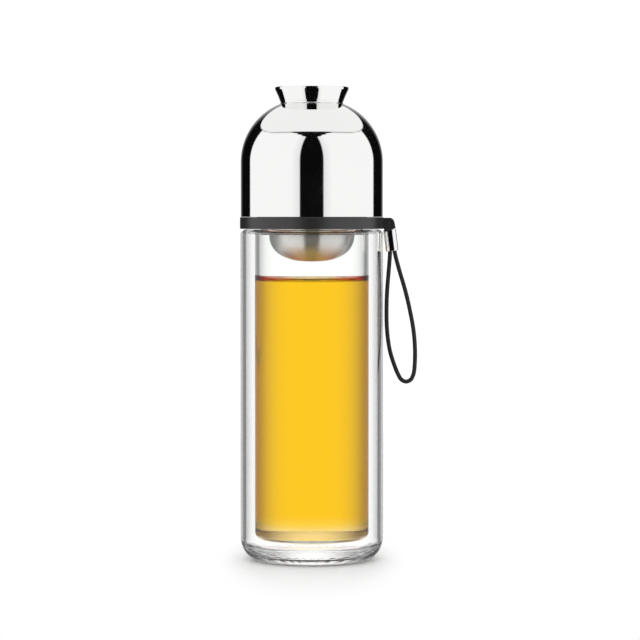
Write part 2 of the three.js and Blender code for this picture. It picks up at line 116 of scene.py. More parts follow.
# The opaque finishes: the scales of their marks and lines, the mask of the shade and its two shares of the
# tint, the mask and range of the roughness, the mask and height of the bump, and the plain inputs
OPAQUE_FINISHES = {
    # Mirror-polished steel: faint polishing lines round the axis and soft smudges
    "polished_steel": {
        "marks": {"Speck Scale": 6000, "Smudge Scale": 55},
        "lines": {"Line Scale": 5000},
        "shade": ("Smudges", 0.96, 1),
        "roughness": ("Smudges", 0.02, 0.07),
        "bump": ("Lines", 0.0000006),
        "inputs": {"Metallic": 1},
    },
    # Satin steel: brushed lines round the axis that change both gloss and shade
    "satin_steel": {
        "marks": {"Speck Scale": 5000, "Smudge Scale": 80},
        "lines": {"Line Scale": 7000},
        "shade": ("Lines", 0.86, 1),
        "roughness": ("Smudges", 0.38, 0.43),
        "bump": ("Lines", 0.000003),
        "inputs": {"Metallic": 1, "Anisotropic": 1, "Anisotropic Rotation": 0.25},
    },
    # Moulded black plastic: a fine grain and slightly uneven gloss
    "black_plastic": {
        "marks": {"Speck Scale": 5200, "Smudge Scale": 90},
        "shade": ("Specks", 1, 1.5),
        "roughness": ("Smudges", 0.28, 0.34),
        "bump": ("Specks", 0.000012),
        "inputs": {"Specular IOR Level": 0.6},
    },
    # Milky silicone: light spreads under its surface, with a fine matt skin
    "silicone": {
        "marks": {"Speck Scale": 3500, "Smudge Scale": 120},
        "shade": ("Smudges", 0.9, 1),
        "roughness": ("Specks", 0.45, 0.6),
        "bump": ("Specks", 0.00001),
        "inputs": {"Subsurface Weight": 0.35, "Subsurface Scale": 0.001},
    },
    # Matt black cord: a fine grain and an uneven, slightly dusty skin
    "black_cord": {
        "marks": {"Speck Scale": 5000, "Smudge Scale": 150},
        "shade": ("Specks", 1, 2.2),
        "roughness": ("Smudges", 0.5, 0.62),
        "bump": ("Specks", 0.00002),
        "inputs": {"Specular IOR Level": 0.25},
    },
}

# Stage: the floor's outline for a radius of one, where its shadow fades, and the studio's levels and edges
BOUNCES = 64
NEAREST = 0.01
FLOOR_OUTLINE = np.array([[0, 0], [0.2, 0], [0.45, 0], [1, 0], [1, -0.004], [0, -0.004]])
FLOOR_DULLING = 0.995
FLOOR_ROUGHNESS = 0.9
SHADOW_FADE = (0.75, 1.35)
SOFT = 0.026
TINY = 0.001
BLACK = 0.003
STEEP = (0.25, 0.6)
LOWEST_CLIMB = -1.2
LIGHT_EDGE = 0.03
LIGHT_LEVEL = 0.98
SEAM_FADE = (0.02, 0.07)
SEAM_DARKNESS = 0.45
PANEL_RISE = 0.35
PANEL_LEVELS = (0.9, 1.04)
REAR_LEVEL = 0.5

# Each piece's body, the nodes that it stands for and its material slot
PIECES = {
    "strap_ferrule_barrel": ("strap", ["strap_ferrule"], "polished_steel"),
    "strap_cord": ("strap", ["strap_loop"], "black_cord"),
    "strap_pin_rod": ("strap_ring", ["strap_pin"], "black_plastic"),
    "strap_ring_moulding": ("strap_ring", ["strap_ring"], "black_plastic"),
    "double_wall_glass": ("bottle", ["outer_glass", "inner_glass"], "clear_glass"),
    "tea": ("bottle", [], None),
    "lid_dome": ("lid", ["lid_outer_shell"], "polished_steel"),
    "lid_cup_lining": ("lid", ["lid_inner_shell"], "satin_steel"),
    "lid_foot": ("lid", ["lid_foot_ring"], "polished_steel"),
    "lid_insert": ("lid", ["lid_thread_insert"], "black_plastic"),
    "lid_seal_ring": ("lid_seal", ["lid_seal"], "silicone"),
    "neck_collar": ("bottle", ["thread_collar"], "black_plastic"),
    "infuser_bowl": ("infuser", ["infuser_basket"], "satin_steel"),
    "infuser_gasket_ring": ("infuser", ["infuser_gasket"], "silicone"),
}

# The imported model's own boxes, low and high corner, which the pieces take their places from
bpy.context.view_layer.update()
OUTER_LOW, OUTER_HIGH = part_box("outer_glass")
INNER_LOW, INNER_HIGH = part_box("inner_glass")
COLLAR_LOW, COLLAR_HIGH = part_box("thread_collar")
_, RING_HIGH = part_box("strap_ring")
PIN_LOW, PIN_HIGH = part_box("strap_pin")
LID_LOW, LID_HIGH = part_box("lid_outer_shell")
LINING_LOW, LINING_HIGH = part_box("lid_inner_shell")
_, FOOT_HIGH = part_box("lid_foot_ring")
INSERT_LOW, INSERT_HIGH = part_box("lid_thread_insert")
SEAL_LOW, SEAL_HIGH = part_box("lid_seal")
BASKET_LOW, BASKET_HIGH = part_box("infuser_basket")
GASKET_LOW, GASKET_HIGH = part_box("infuser_gasket")
PIN_PLACE = (PIN_LOW + PIN_HIGH) / 2

# The strap's route from the ferrule's mouth round the loop and back: out and up from the pin, in metres
CORD_ROUTE = np.array([
    [0.0005, -0.01215], [0.00062, -0.0134], [0.00054, -0.0156], [0.00005, -0.0223], [-0.0007, -0.0318],
    [-0.001, -0.0413], [-0.00075, -0.0509], [0.00055, -0.0604], [0.0027, -0.0675], [0.00455, -0.072],
    [0.0061, -0.0745], [0.0083, -0.0755], [0.0105, -0.0746], [0.0118, -0.0722], [0.01235, -0.069],
    [0.0126, -0.0604], [0.01185, -0.0509], [0.0101, -0.0413], [0.00785, -0.0318], [0.00505, -0.0223],
    [0.00325, -0.0156], [0.00275, -0.0131], [0.0026, -0.0119],
])

# The lug's outline from its root down to its tail and up round its nose: out and up from the pin, in metres
LUG_OUTLINE = np.array([
    [-0.0036, 0.0026], [-0.0036, -0.00265], [-0.0021, -0.00265], [-0.0021, -0.00425],
    [0.00325, -0.0023], [0.00275, 0.0003], [0.0022, 0.00175], [0.001, 0.0026],
])


def length(name, default, text):
    """A size in metres that the sidebar shows as a length."""
    return FloatProperty(name=name, description=text, default=default, min=0, precision=5, unit="LENGTH")


def number(name, default, text):
    """A plain number."""
    return FloatProperty(name=name, description=text, default=default, precision=4)


def count(name, default, text):
    """A whole number."""
    return IntProperty(name=name, description=text, default=default, min=1)


def colour(name, default, text):
    """A linear colour that the sidebar shows as a swatch."""
    look = {"size": 3, "min": 0, "max": 1, "subtype": "COLOR"}
    return FloatVectorProperty(name=name, description=text, default=default, **look)


def turn(name, degrees, text):
    """An angle that the sidebar shows in degrees."""
    return FloatProperty(name=name, description=text, default=math.radians(degrees), subtype="ANGLE")


class GlassSettings(PropertyGroup):
    """Sizes and tint of the double-wall glass."""
    outer_wall: length("Outer wall", 0.0025, "Thickness of the outer tube")
    base_thickness: length("Base", 0.0068, "Thickness of the solid base")
    foot_width: length("Foot corner width", 0.0085, "How far in the rounded foot reaches")
    foot_height: length("Foot corner height", 0.011, "How far up the rounded foot reaches")
    base_fillet: length("Base fillet", 0.003, "Rounding inside the base")
    wave_height: length("Base waves", 0.00009, "Height of the soft waves in the base's upper face")
    wave_count: count("Wave count", 24, "Number of waves round the base")
    shoulder_thickness: length("Shoulder", 0.0016, "Thickness of the flat shoulder")
    shoulder_corner: length("Shoulder corner", 0.0026, "Rounding outside the shoulder")
    shoulder_fillet: length("Shoulder fillet", 0.001, "Rounding inside the shoulder")
    neck_fillet: length("Neck fillet", 0.00025, "Rounding where the neck leaves the shoulder")
    inner_wall: length("Inner wall", 0.002, "Thickness of the inner tube")
    inner_floor: length("Inner floor", 0.002, "Thickness of the inner tube's floor")
    inner_corner: length("Inner corner", 0.0034, "Rounding at the inner tube's foot")
    neck_step: length("Neck step", 0.00315, "How far the inner tube draws in to the neck")
    neck_wall: length("Neck wall", 0.0025, "Thickness of the neck")
    rim_round: length("Rim rounding", 0.0009, "Fire-polished rounding of the rim")
    weld_round: length("Weld rounding", 0.00055, "Rounding where the two walls are fused")
    tint: colour("Tint", (0.985, 0.99, 0.985), "Tint of the glass surface")


class TeaSettings(PropertyGroup):
    """Level and colour of the tea."""
    level: length("Level", 0.1329, "Height of the tea's surface above the base")
    climb: length("Meniscus height", 0.0026, "How far the tea climbs the glass")
    climb_width: length("Meniscus width", 0.0009, "How far from the glass the climb fades")
    bite: length("Bite", 0.0001, "How far the tea reaches into the glass, so no air shows between them")
    colour: colour("Colour", (0.995, 0.605, 0.028), "Colour that the tea lets through at its side")
    body_colour: colour("Body colour", (1, 0.864, 0.0075), "Colour that the tea's body lets through")
    density: number("Density", 8, "Strength of the tea's body")
    # The rim colour is a painted shade: a darker band just under the surface, where the meniscus darkens
    # the view.
    painted_rim_shade_colour: colour("Rim colour", (0.3, 0.2, 0.02), "Colour of the side just under the surface")
    painted_rim_shade_depth: length("Rim depth", 0.0018, "How far down the side the deeper colour under the surface goes")
    rim_top: length("Rim top", 0.0012, "How far above the level the side is coloured")
    # The pale floor is painted light: the side's colour fades towards the floor, where the tea looks
    # lighter.
    painted_floor_light_height: length("Pale floor", 0.0075, "How far above the floor the side's colour starts to fade")
    painted_floor_light_share: number("Pale share", 0.55, "How much of the side's colour is left at the floor")


class StrapSettings(PropertyGroup):
    """Sizes and colours of the swivel ring, its lug, the ferrule and the cord."""
    ring_bore: length("Ring bore", 0.0298, "Radius of the bore that turns on the hub")
    ring_counterbore: length("Ring counterbore", 0.0309, "Radius of the recess over the hub's lip")
    counterbore_depth: length("Recess depth", 0.0016, "Depth of the recess over the hub's lip")
    ring_radius: length("Ring radius", 0.0342, "Outside radius of the ring")
    ring_edge: length("Ring edge", 0.0004, "Rounding of the ring's edges")
    ring_height: length("Ring height", 0.0054, "Height of the ring")
    ring_rise: length("Ring rise", 0.00018, "How far the ring reaches up into the gap under the lid")
    lug_round: length("Lug corners", 0.00045, "Rounding of the corners of the lug's outline")
    lug_half_width: length("Lug half width", 0.0037, "Half the lug's width along the pin")
    slot_half_width: length("Slot half width", 0.0026, "Half the width of the lug's slot")
    lug_edge: length("Lug edge", 0.0003, "Rounding of the lug's edges")
    pin_radius: length("Pin radius", 0.0008, "Radius of the pin")
    pin_hole: length("Pin hole", 0.00083, "Radius of the holes that the pin goes through")
    pin_edge: length("Pin edge", 0.00005, "Rounding of the edges of the pin's holes")
    pin_dome: length("Pin dome", 0.0006, "Rounding of the pin's ends")
    tongue_half: length("Tongue half thickness", 0.00225, "Half the thickness of the ferrule's tongue")
    tongue_radius: length("Tongue radius", 0.0016, "Radius of the tongue's round end")
    tilt: turn("Tilt", 7, "How far the ferrule hangs outwards")
    ferrule_drop: length("Ferrule drop", 0.00295, "From the pin down to the top of the barrel")
    ferrule_length: length("Ferrule length", 0.0104, "Length of the barrel")
    ferrule_width: length("Ferrule width", 0.0061, "Width of the barrel")
    ferrule_depth: length("Ferrule depth", 0.0046, "Depth of the barrel")
    ferrule_wall: length("Ferrule wall", 0.0007, "Wall of the barrel at its mouth")
    ferrule_mouth: length("Ferrule mouth", 0.0015, "Depth of the barrel's mouth")
    ferrule_edge: length("Ferrule edge", 0.00045, "Rounding of the barrel's ends")
    cord_diameter: length("Cord diameter", 0.002, "Diameter of the cord")
    cord_colour: colour("Cord colour", (0.012, 0.012, 0.0125), "Colour of the cord")
    plastic_colour: colour("Plastic colour", (0.014, 0.014, 0.0145), "Colour of the black plastic")


class LidSettings(PropertyGroup):
    """Sizes and colours of the lid and the collar that it screws on."""
    wall_height: length("Wall height", 0.02605, "Height of the straight wall under the dome")
    dome_radius: length("Dome radius", 0.0296, "Radius of the dome's curve")
    shell_wall: length("Shell wall", 0.0008, "Thickness of each steel shell")
    lip_height: length("Lip height", 0.0008, "Thickness of the lip that closes the two shells")
    lip_gap: length("Lip gap", 0.0003, "Seam between the lip and the inner shell")
    shell_edge: length("Shell edge", 0.0001, "Rounding of the shells' edges")
    foot_waist: length("Foot waist", 0.0148, "Radius where the foot leaves the dome")
    foot_wall: length("Foot wall", 0.0011, "Wall of the foot")
    foot_bow: length("Foot bow", 0.0001, "How hollow the foot's flare is")
    foot_rim: length("Foot rim", 0.0012, "Height of the straight rim of the foot")
    foot_edge: length("Foot edge", 0.0004, "Rounding of the foot's rim")
    weld_bead: length("Weld bead", 0.0005, "Rounding where the foot meets the dome")
    hub_radius: length("Hub radius", 0.0295, "Radius of the hub that the strap ring turns on")
    hub_height: length("Hub height", 0.0051, "Height of the hub")
    hub_lip_height: length("Hub lip", 0.001, "Thickness of the hub's lip")
    collar_bore: length("Collar bore", 0.0243, "Radius of the collar's bore round the neck")
    collar_radius: length("Collar radius", 0.0262, "Radius at the root of the collar's thread")
    insert_bore: length("Insert bore", 0.0279, "Radius at the root of the lid's thread")
    shelf_bore: length("Shelf bore", 0.024, "Bore of the insert's shelf over the seal")
    shelf_thickness: length("Shelf thickness", 0.0016, "Thickness of the insert's shelf")
    seal_bore: length("Seal bore", 0.0243, "Bore of the seal")
    thread_lead: length("Thread lead", 0.008, "Rise of the thread in one turn")
    thread_starts: count("Thread starts", 2, "Number of ridges side by side")
    thread_depth: length("Thread depth", 0.0013, "Height of the ridges")
    ridge_root: length("Ridge root", 0.0018, "Width of a ridge at its foot")
    ridge_crest: length("Ridge crest", 0.001, "Width of a ridge at its top")
    ridge_room: length("Ridge end room", 0.0003, "Plain wall left at both ends of the thread")
    thread_play: length("Thread play", 0.0004, "Clearance between the two threads")
    moulded_edge: length("Moulded edge", 0.0002, "Rounding of the plastic and silicone edges")
    polish_colour: colour("Polished steel", (0.90, 0.90, 0.895), "Colour of the polished steel")
    silicone_colour: colour("Silicone", (0.74, 0.74, 0.71), "Colour of the silicone")


class InfuserSettings(PropertyGroup):
    """Sizes and colours of the infuser basket."""
    radius: length("Radius", 0.0204, "Outside radius of the basket")
    wall: length("Wall", 0.0006, "Thickness of the basket's sheet")
    bowl_depth: length("Bowl depth", 0.014, "Depth of the rounded bottom")
    fullness: number("Fullness", 2.5, "Power of the bowl's curve; 2 is an ellipse")
    flange_thickness: length("Flange", 0.0008, "Thickness of the flange")
    flange_fillet: length("Flange fillet", 0.0004, "Rounding under the flange")
    hole_radius: length("Hole radius", 0.00035, "Radius of a hole in the bowl")
    hole_pitch: length("Hole pitch", 0.0014, "Distance between the rings of holes")
    hole_rings: count("Hole rings", 6, "Rings of holes round the middle one")
    hole_sides: count("Hole sides", 12, "Sides of each hole")
    gasket_bore: length("Gasket bore", 0.0207, "Bore of the gasket")
    gasket_plug: length("Gasket plug", 0.0212, "Radius of the gasket's plug in the neck")
    gasket_thickness: length("Gasket thickness", 0.0012, "Thickness of the gasket's rim")
    satin_colour: colour("Satin steel", (0.92, 0.915, 0.9), "Colour of the satin steel")


class StageSettings(PropertyGroup):
    """Camera, floor and studio."""
    eye_height: length("Eye height", 0.164, "Height of the camera")
    distance: length("Distance", 1.28, "Distance of the camera from the bottle's axis")
    side: length("Side", 0.0039, "How far the camera stands to the right of the axis")
    aim_height: length("Aim height", 0.1141, "Height that the camera looks at")
    lens: number("Lens", 151.2, "Focal length in millimetres")
    floor_radius: length("Floor radius", 0.75, "Radius of the floor")
    floor_drop: length("Floor drop", 0.00015, "Gap between the base and the floor")
    floor_colour: colour("Floor", (0.97, 0.97, 0.97), "Colour of the floor")
    shade_width: length("Shadow half width", 0.034, "How far to the sides the floor's shadow shows")
    shade_depth: length("Shadow half depth", 0.12, "How far to the front the floor's shadow shows")
    strip_width: number("Front strip", 0.346, "Half width of the dark strip, for a distance of one")
    strip_taper: number("Front strip taper", 0.127, "How fast it narrows with its height squared")
    side_gap: turn("Side gap", 118.6, "Where the dark gap at each side begins, from the front")
    side_fade: turn("Side gap fade", 150, "Where the side gaps begin to brighten towards the back")
    light_width: number("Overhead light width", 1.32, "Half width of the light, for a height of one")
    light_depth: number("Overhead light depth", 1.33, "Half depth of the light, for a height of one")
    light_back: number("Overhead light place", 0.65, "How far back it is, for a height of one")
    gap_tip: number("Overhead gap tip", 1.236, "How far in front the dark gap before it ends")
    gap_slope: number("Overhead gap slope", 1.164, "Slope of the two sides of that gap")
    inside_gain: number("Inside gain", 1.25, "How much brighter the glass mirrors the panels")
    inside_start: turn("Inside start", 72, "Where the panels mirrored inside the glass begin to fade")
    inside_end: turn("Inside end", 114, "Where the panels mirrored inside the glass have faded away")
    inside_level: number("Inside level", 0.12, "Least brightness of what is mirrored inside the glass")
    back_level: number("Back level", 1.06, "Brightness seen through the glass towards the back")
    edge_level: number("Edge level", 0.32, "Brightness seen through the glass towards the sides")
    edge_start: turn("Edge start", 134, "Where the brightness seen through the glass begins to rise")
    edge_slope: number("Edge slope", 0.125, "Slope up to which the sides look darker through the glass")
    front_start: turn("Front start", 100, "Where the brightness seen through the glass begins to fall")
    front_end: turn("Front end", 116, "Where the brightness seen through the glass is lowest")
    edge_end: turn("Edge end", 171, "Where the brightness seen through the glass is full")
    mirror_level: number("Mirror level", 0.25, "Brightness mirrored inside the glass towards the sides")
    mirror_start: turn("Mirror start", 149, "Where the brightness mirrored inside the glass begins to rise")
    mirror_end: turn("Mirror end", 178, "Where the brightness mirrored inside the glass is full")


class BottleSettings(PropertyGroup):
    """All settings of the bottle."""
    glass: PointerProperty(type=GlassSettings)
    tea: PointerProperty(type=TeaSettings)
    strap: PointerProperty(type=StrapSettings)
    lid: PointerProperty(type=LidSettings)
    infuser: PointerProperty(type=InfuserSettings)
    stage: PointerProperty(type=StageSettings)


# Outlines: arrays of (radius, height) points

def arc(centre, radii, start, end, steps=ARC_STEPS):
    """Arc of a circle, or of an ellipse with two radii.

    Its points are centre + (wide * cos a, high * sin a) for a from start to end.
    """
    wide, high = np.broadcast_to(radii, 2)
    angle = np.linspace(start, end, steps + 1)
    return np.column_stack([centre[0] + wide * np.cos(angle), centre[1] + high * np.sin(angle)])


def bowl_curve(brim, radius, depth, fullness):
    """Quarter superellipse from the middle to the brim: (radius * sin(a) ^ p, brim - depth * cos(a) ^ p).

    The power p is 2 / fullness.
    """
    angle = np.linspace(BOWL_START, QUARTER, 3 * ARC_STEPS + 1)
    power = 2 / fullness
    out = radius * np.sin(angle) ** power
    return np.column_stack([out, brim - depth * np.maximum(np.cos(angle), 0) ** power])


def rounded(corners, radius):
    """Closed outline whose every corner is an arc that touches both its sides.

    The arc's centre lies on the corner's bisector at radius / sin(half angle), and its points swing evenly
    from one touching point to the other.
    """
    corners = np.asarray(corners, float)
    radius = np.broadcast_to(np.asarray(radius, float), len(corners))[:, None]
    back = np.roll(corners, 1, axis=0) - corners
    ahead = np.roll(corners, -1, axis=0) - corners
    back /= np.linalg.norm(back, axis=1, keepdims=True)
    ahead /= np.linalg.norm(ahead, axis=1, keepdims=True)
    half = np.arccos(np.clip(np.sum(back * ahead, axis=1, keepdims=True), -1, 1)) / 2
    bisector = back + ahead
    bisector /= np.linalg.norm(bisector, axis=1, keepdims=True)
    centre = corners + bisector * radius / np.sin(half)
    first = corners + back * radius / np.tan(half) - centre
    last = corners + ahead * radius / np.tan(half) - centre
    swing = math.pi - 2 * half
    share = np.linspace(0, 1, EDGE_STEPS + 1)[None, :]
    from_first = (np.sin((1 - share) * swing) / np.sin(swing))[:, :, None]
    from_last = (np.sin(share * swing) / np.sin(swing))[:, :, None]
    points = centre[:, None, :] + from_first * first[:, None, :] + from_last * last[:, None, :]
    return points.reshape(-1, 2)


def refined(outline, closed, dense_radius):
    """The outline with more points on its long sides.

    Each long side first gets a point close to both its ends, which keeps the shading flat, and is then cut
    into equal parts that aren't long. Sides that lie on dense_radius are cut much finer, for a thread.
    """
    start, end = sides_of(outline, closed)
    side = np.linalg.norm(end - start, axis=1)
    is_long = side > HELD_SIDE
    share = np.where(is_long, HOLD / np.maximum(side, HOLD), 0)
    stops = np.stack([np.zeros_like(share), share, 1 - share], axis=1)
    kept = np.stack([np.ones_like(is_long), is_long, is_long], axis=1)
    points = (start[:, None, :] + stops[:, :, None] * (end - start)[:, None, :])[kept]
    points = points if closed else np.vstack([points, outline[-1:]])
    start, end = sides_of(points, closed)
    side = np.linalg.norm(end - start, axis=1)
    spacing = np.full(len(side), LONG_SIDE)
    if dense_radius is not None:
        ends = np.column_stack([start[:, 0], end[:, 0]])
        spacing[np.isclose(ends, dense_radius, atol=ON_WALL).all(axis=1)] = THREAD_SIDE
    parts = np.maximum(np.ceil(side / spacing), 1).astype(int)
    owner = np.repeat(np.arange(len(side)), parts)
    step = np.arange(len(owner)) - np.repeat(np.cumsum(parts) - parts, parts)
    share = (step / parts[owner])[:, None]
    points = start[owner] + share * (end - start)[owner]
    return points if closed else np.vstack([points, outline[-1:]])


def sides_of(outline, closed):
    """First and last point of each side of an outline."""
    if closed:
        return outline, np.roll(outline, -1, axis=0)
    return outline[:-1], outline[1:]


# Surfaces: a grid of points becomes vertices and outward faces

def skin(grid, poles=None):
    """Vertices and faces of a grid of rings.

    The grid is [ring, point round the ring, xyz]. Rings are closed round. The rings are either joined last
    to first, or capped by a fan of triangles to the first and last pole.
    """
    rings, around = grid.shape[:2]
    point = np.arange(around)
    beside = (point + 1) % around
    ring = np.arange(rings if poles is None else rings - 1)[:, None]
    lower = ring * around
    upper = (ring + 1) % rings * around
    corners = [lower + point, lower + beside, upper + beside, upper + point]
    quads = np.stack(corners, axis=-1).reshape(-1, 4)
    vertices = grid.reshape(-1, 3)
    fans = np.zeros((0, 3), int)
    if poles is not None:
        vertices = np.vstack([vertices, poles])
        last = (rings - 1) * around
        first_fan = np.stack([np.full(around, rings * around), beside, point], axis=-1)
        last_fan = np.stack([np.full(around, rings * around + 1), last + point, last + beside], axis=-1)
        fans = np.vstack([first_fan, last_fan])
    if enclosed_volume(vertices, quads, fans) < 0:
        quads = quads[:, ::-1]
        fans = fans[:, ::-1]
    return vertices, quads, fans


def enclosed_volume(vertices, quads, fans):
    """Signed volume inside a closed surface: a sixth of the sum of a . (b x c) over its triangles."""
    triangles = np.vstack([quads[:, [0, 1, 2]], quads[:, [0, 2, 3]], fans])
    a, b, c = (vertices[triangles[:, k]] for k in range(3))
    return np.sum(a * np.cross(b, c)) / 6


def turned(outline, around=AROUND, bulge=None):
    """Surface of revolution about Z: (r, z) at angle a goes to (r cos a, r sin a, z).

    An outline that starts and ends on the axis is capped there by poles, any other one is closed on itself.
    A bulge function of (angle, radius, height) adds to the radius, which makes a thread.
    """
    capped = meets_axis(outline)
    rows = outline[1:-1] if capped else outline
    angle = full_circle(around)[None, :]
    radius = np.repeat(rows[:, :1], around, axis=1)
    height = np.repeat(rows[:, 1:], around, axis=1)
    if bulge is not None:
        radius = radius + bulge(angle, radius, height)
    grid = np.stack([radius * np.cos(angle), radius * np.sin(angle), height], axis=-1)
    return skin(grid, axis_poles(outline) if capped else None)


def lathe(outline, around=AROUND, bulge=None, dense_radius=None):
    """A turned surface whose outline is refined first."""
    return turned(refined(outline, not meets_axis(outline), dense_radius), around, bulge)


def meets_axis(outline):
    """True for an outline that starts and ends on the axis."""
    return outline[[0, -1], 0].max() < ON_AXIS


def axis_poles(outline):
    """The points on the axis at the heights of an outline's two ends."""
    return np.array([[0, 0, outline[0, 1]], [0, 0, outline[-1, 1]]])


def full_circle(steps):
    """Evenly spaced angles once round."""
    return np.linspace(0, 2 * math.pi, steps, endpoint=False)


def reach_of(outline):
    """Distance from the origin to an outline round it, as a function of the angle.

    The ray along d = (cos a, sin a) meets a side from p along e at the distance (p x e) / (d x e), if the
    share of the side at that point, (p x d) / (d x e), is between 0 and 1.
    """
    start, end = sides_of(outline, True)
    along = end - start

    def reach(angle):
        across, up = np.cos(angle)[:, None], np.sin(angle)[:, None]
        turn_of_side = across * along[:, 1] - up * along[:, 0]
        turn_of_side = np.where(np.abs(turn_of_side) < PARALLEL, PARALLEL, turn_of_side)
        distance = (start[:, 0] * along[:, 1] - start[:, 1] * along[:, 0]) / turn_of_side
        share = (start[:, 0] * up - start[:, 1] * across) / turn_of_side
        met = (share > -MARGIN) & (share < 1 + MARGIN) & (distance > 0)
        return np.where(met, distance, np.inf).min(axis=1)

    return reach


def eye_plate(strap, place, reach, near, far, around):
    """Plate with a round hole on the pin's axis, which lies along Y.

    At angle a about the pin, the section is a rounded rectangle from the hole's radius out to reach(a), and
    from near to far along Y. It is made with a fixed span, and its outer half is then moved out.
    """
    edge, hole_edge = strap.lug_edge, strap.pin_edge
    span = PLATE_SPAN * edge
    section = rounded([[0, near], [span, near], [span, far], [0, far]], [hole_edge, edge, edge, hole_edge])
    angle = full_circle(around)
    out = section[:, :1]
    radius = np.where(out > span / 2, reach(angle)[None, :] + out - span, strap.pin_hole + out)
    across = np.repeat(section[:, 1:], around, axis=1)
    grid = np.stack([radius * np.cos(angle), across, radius * np.sin(angle)], axis=-1)
    return skin(grid + np.asarray(place))


def oval_bar(outline, width, depth):
    """Bar whose section is an oval with straight sides: two half circles, apart by width - depth.

    The outline is (radius of the half circles, height) from the top's middle to the bottom's middle.
    """
    right = np.linspace(-QUARTER, QUARTER, OVAL_STEPS)
    angle = np.concatenate([right, right + math.pi])
    apart = np.repeat([(width - depth) / 2, (depth - width) / 2], OVAL_STEPS)
    rows = outline[1:-1]
    radius = rows[:, :1]
    height = np.repeat(rows[:, 1:], len(angle), axis=1)
    grid = np.stack([apart + radius * np.cos(angle), radius * np.sin(angle), height], axis=-1)
    return skin(grid, axis_poles(outline))


def smooth_route(points):
    """Centripetal Catmull-Rom curve through the points, by repeated linear blending between knots.

    The knots are spaced by the square root of the distance between the points.
    """
    ends = np.vstack([2 * points[:1] - points[1:2], points, 2 * points[-1:] - points[-2:-1]])
    p0, p1, p2, p3 = (ends[k:len(ends) - 3 + k, None, :] for k in range(4))
    t1 = np.sqrt(np.linalg.norm(p1 - p0, axis=-1, keepdims=True))
    t2 = t1 + np.sqrt(np.linalg.norm(p2 - p1, axis=-1, keepdims=True))
    t3 = t2 + np.sqrt(np.linalg.norm(p3 - p2, axis=-1, keepdims=True))
    share = np.linspace(0, 1, ROUTE_STEPS, endpoint=False)[None, :, None]
    t = t1 + share * (t2 - t1)
    a1 = ((t1 - t) * p0 + t * p1) / t1
    a2 = ((t2 - t) * p1 + (t - t1) * p2) / (t2 - t1)
    a3 = ((t3 - t) * p2 + (t - t2) * p3) / (t3 - t2)
    b1 = ((t2 - t) * a1 + t * a2) / t2
    b2 = ((t3 - t) * a2 + (t - t1) * a3) / (t3 - t1)
    curve = ((t2 - t) * b1 + (t - t1) * b2) / (t2 - t1)
    return np.vstack([curve.reshape(-1, points.shape[1]), points[-1:]])


def tube(path, radius):
    """Round tube along a path in the XZ plane.

    Each ring is centre + radius * (cos a * sideways + sin a * Y), where sideways is the path's direction
    turned a quarter in the plane.
    """
    along = np.gradient(path, axis=0)
    along /= np.linalg.norm(along, axis=1, keepdims=True)
    sideways = np.stack([along[:, 2], np.zeros(len(path)), -along[:, 0]], axis=-1)
    angle = full_circle(CORD_AROUND)[None, :, None]
    across = np.array([0, 1, 0])
    ring = np.cos(angle) * sideways[:, None, :] + np.sin(angle) * across
    return skin(path[:, None, :] + radius * ring, path[[0, -1]])


def ridges(lid, base, low, high, wall, depth):
    """Bulge of a screw thread on the wall of that radius; a depth below zero points inwards.

    The distance along Z to the nearest ridge's middle is (z - base - lead * a / 2 pi) folded into one
    pitch. The ridge is a trapezoid over that distance, and fades out towards both ends of the wall.
    """
    pitch = lid.thread_lead / lid.thread_starts
    slope = (lid.ridge_root - lid.ridge_crest) / 2
    first = low + lid.ridge_root / 2 + lid.ridge_room
    last = high - lid.ridge_root / 2 - lid.ridge_room

    def bulge(angle, radius, height):
        climb = height - base - lid.thread_lead * angle / (2 * math.pi)
        offset = (climb + pitch / 2) % pitch - pitch / 2
        middle = height - offset
        full = np.clip((lid.ridge_root / 2 - np.abs(offset)) / slope, 0, 1)
        ends = np.clip(np.minimum(middle - first, last - middle) / slope + 1, 0, 1)
        on_wall = (height > low) & (height < high) & np.isclose(radius, wall, atol=ON_WALL)
        return np.where(on_wall, depth * full * ends, 0)

    return bulge


# Objects

def add_piece(name, surfaces, material):
    """An object from closed surfaces, smooth except at sharp edges; a listed piece rides on its body."""
    vertices = np.vstack([part[0] for part in surfaces])
    starts = np.cumsum([0] + [len(part[0]) for part in surfaces[:-1]])
    faces = []
    for start, (_, quads, fans) in zip(starts, surfaces):
        faces += (quads + start).tolist() + (fans + start).tolist()
    mesh = bpy.data.meshes.new(name)
    mesh.from_pydata(vertices.tolist(), [], faces)
    shade(mesh)
    mesh.materials.append(material)
    mesh.validate()
    piece = bpy.data.objects.new(name, mesh)
    bpy.context.scene.collection.objects.link(piece)
    if name in PIECES:
        body, nodes, slot = PIECES[name]
        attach(piece, body)
        if nodes:
            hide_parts(*nodes)
    return piece


def shade(mesh):
    """Smooth shading, except at sharp edges."""
    mesh.shade_smooth()
    mesh.set_sharp_from_angle(angle=SHARP_ANGLE)


def combine(piece, surfaces, operation):
    """Joins closed surfaces to a piece, or cuts them out of it, and keeps the result as its mesh."""
    tool = add_piece("tool", surfaces, piece.data.materials[0])
    change = piece.modifiers.new("combine", "BOOLEAN")
    change.operation = operation
    change.solver = "EXACT"
    change.object = tool
    mesh = bpy.data.meshes.new_from_object(piece.evaluated_get(bpy.context.evaluated_depsgraph_get()))
    piece.modifiers.clear()
    old = piece.data
    piece.data = mesh
    mesh.name = piece.name
    bpy.data.meshes.remove(old)
    bpy.data.objects.remove(tool)
    shade(mesh)


# Values in node trees

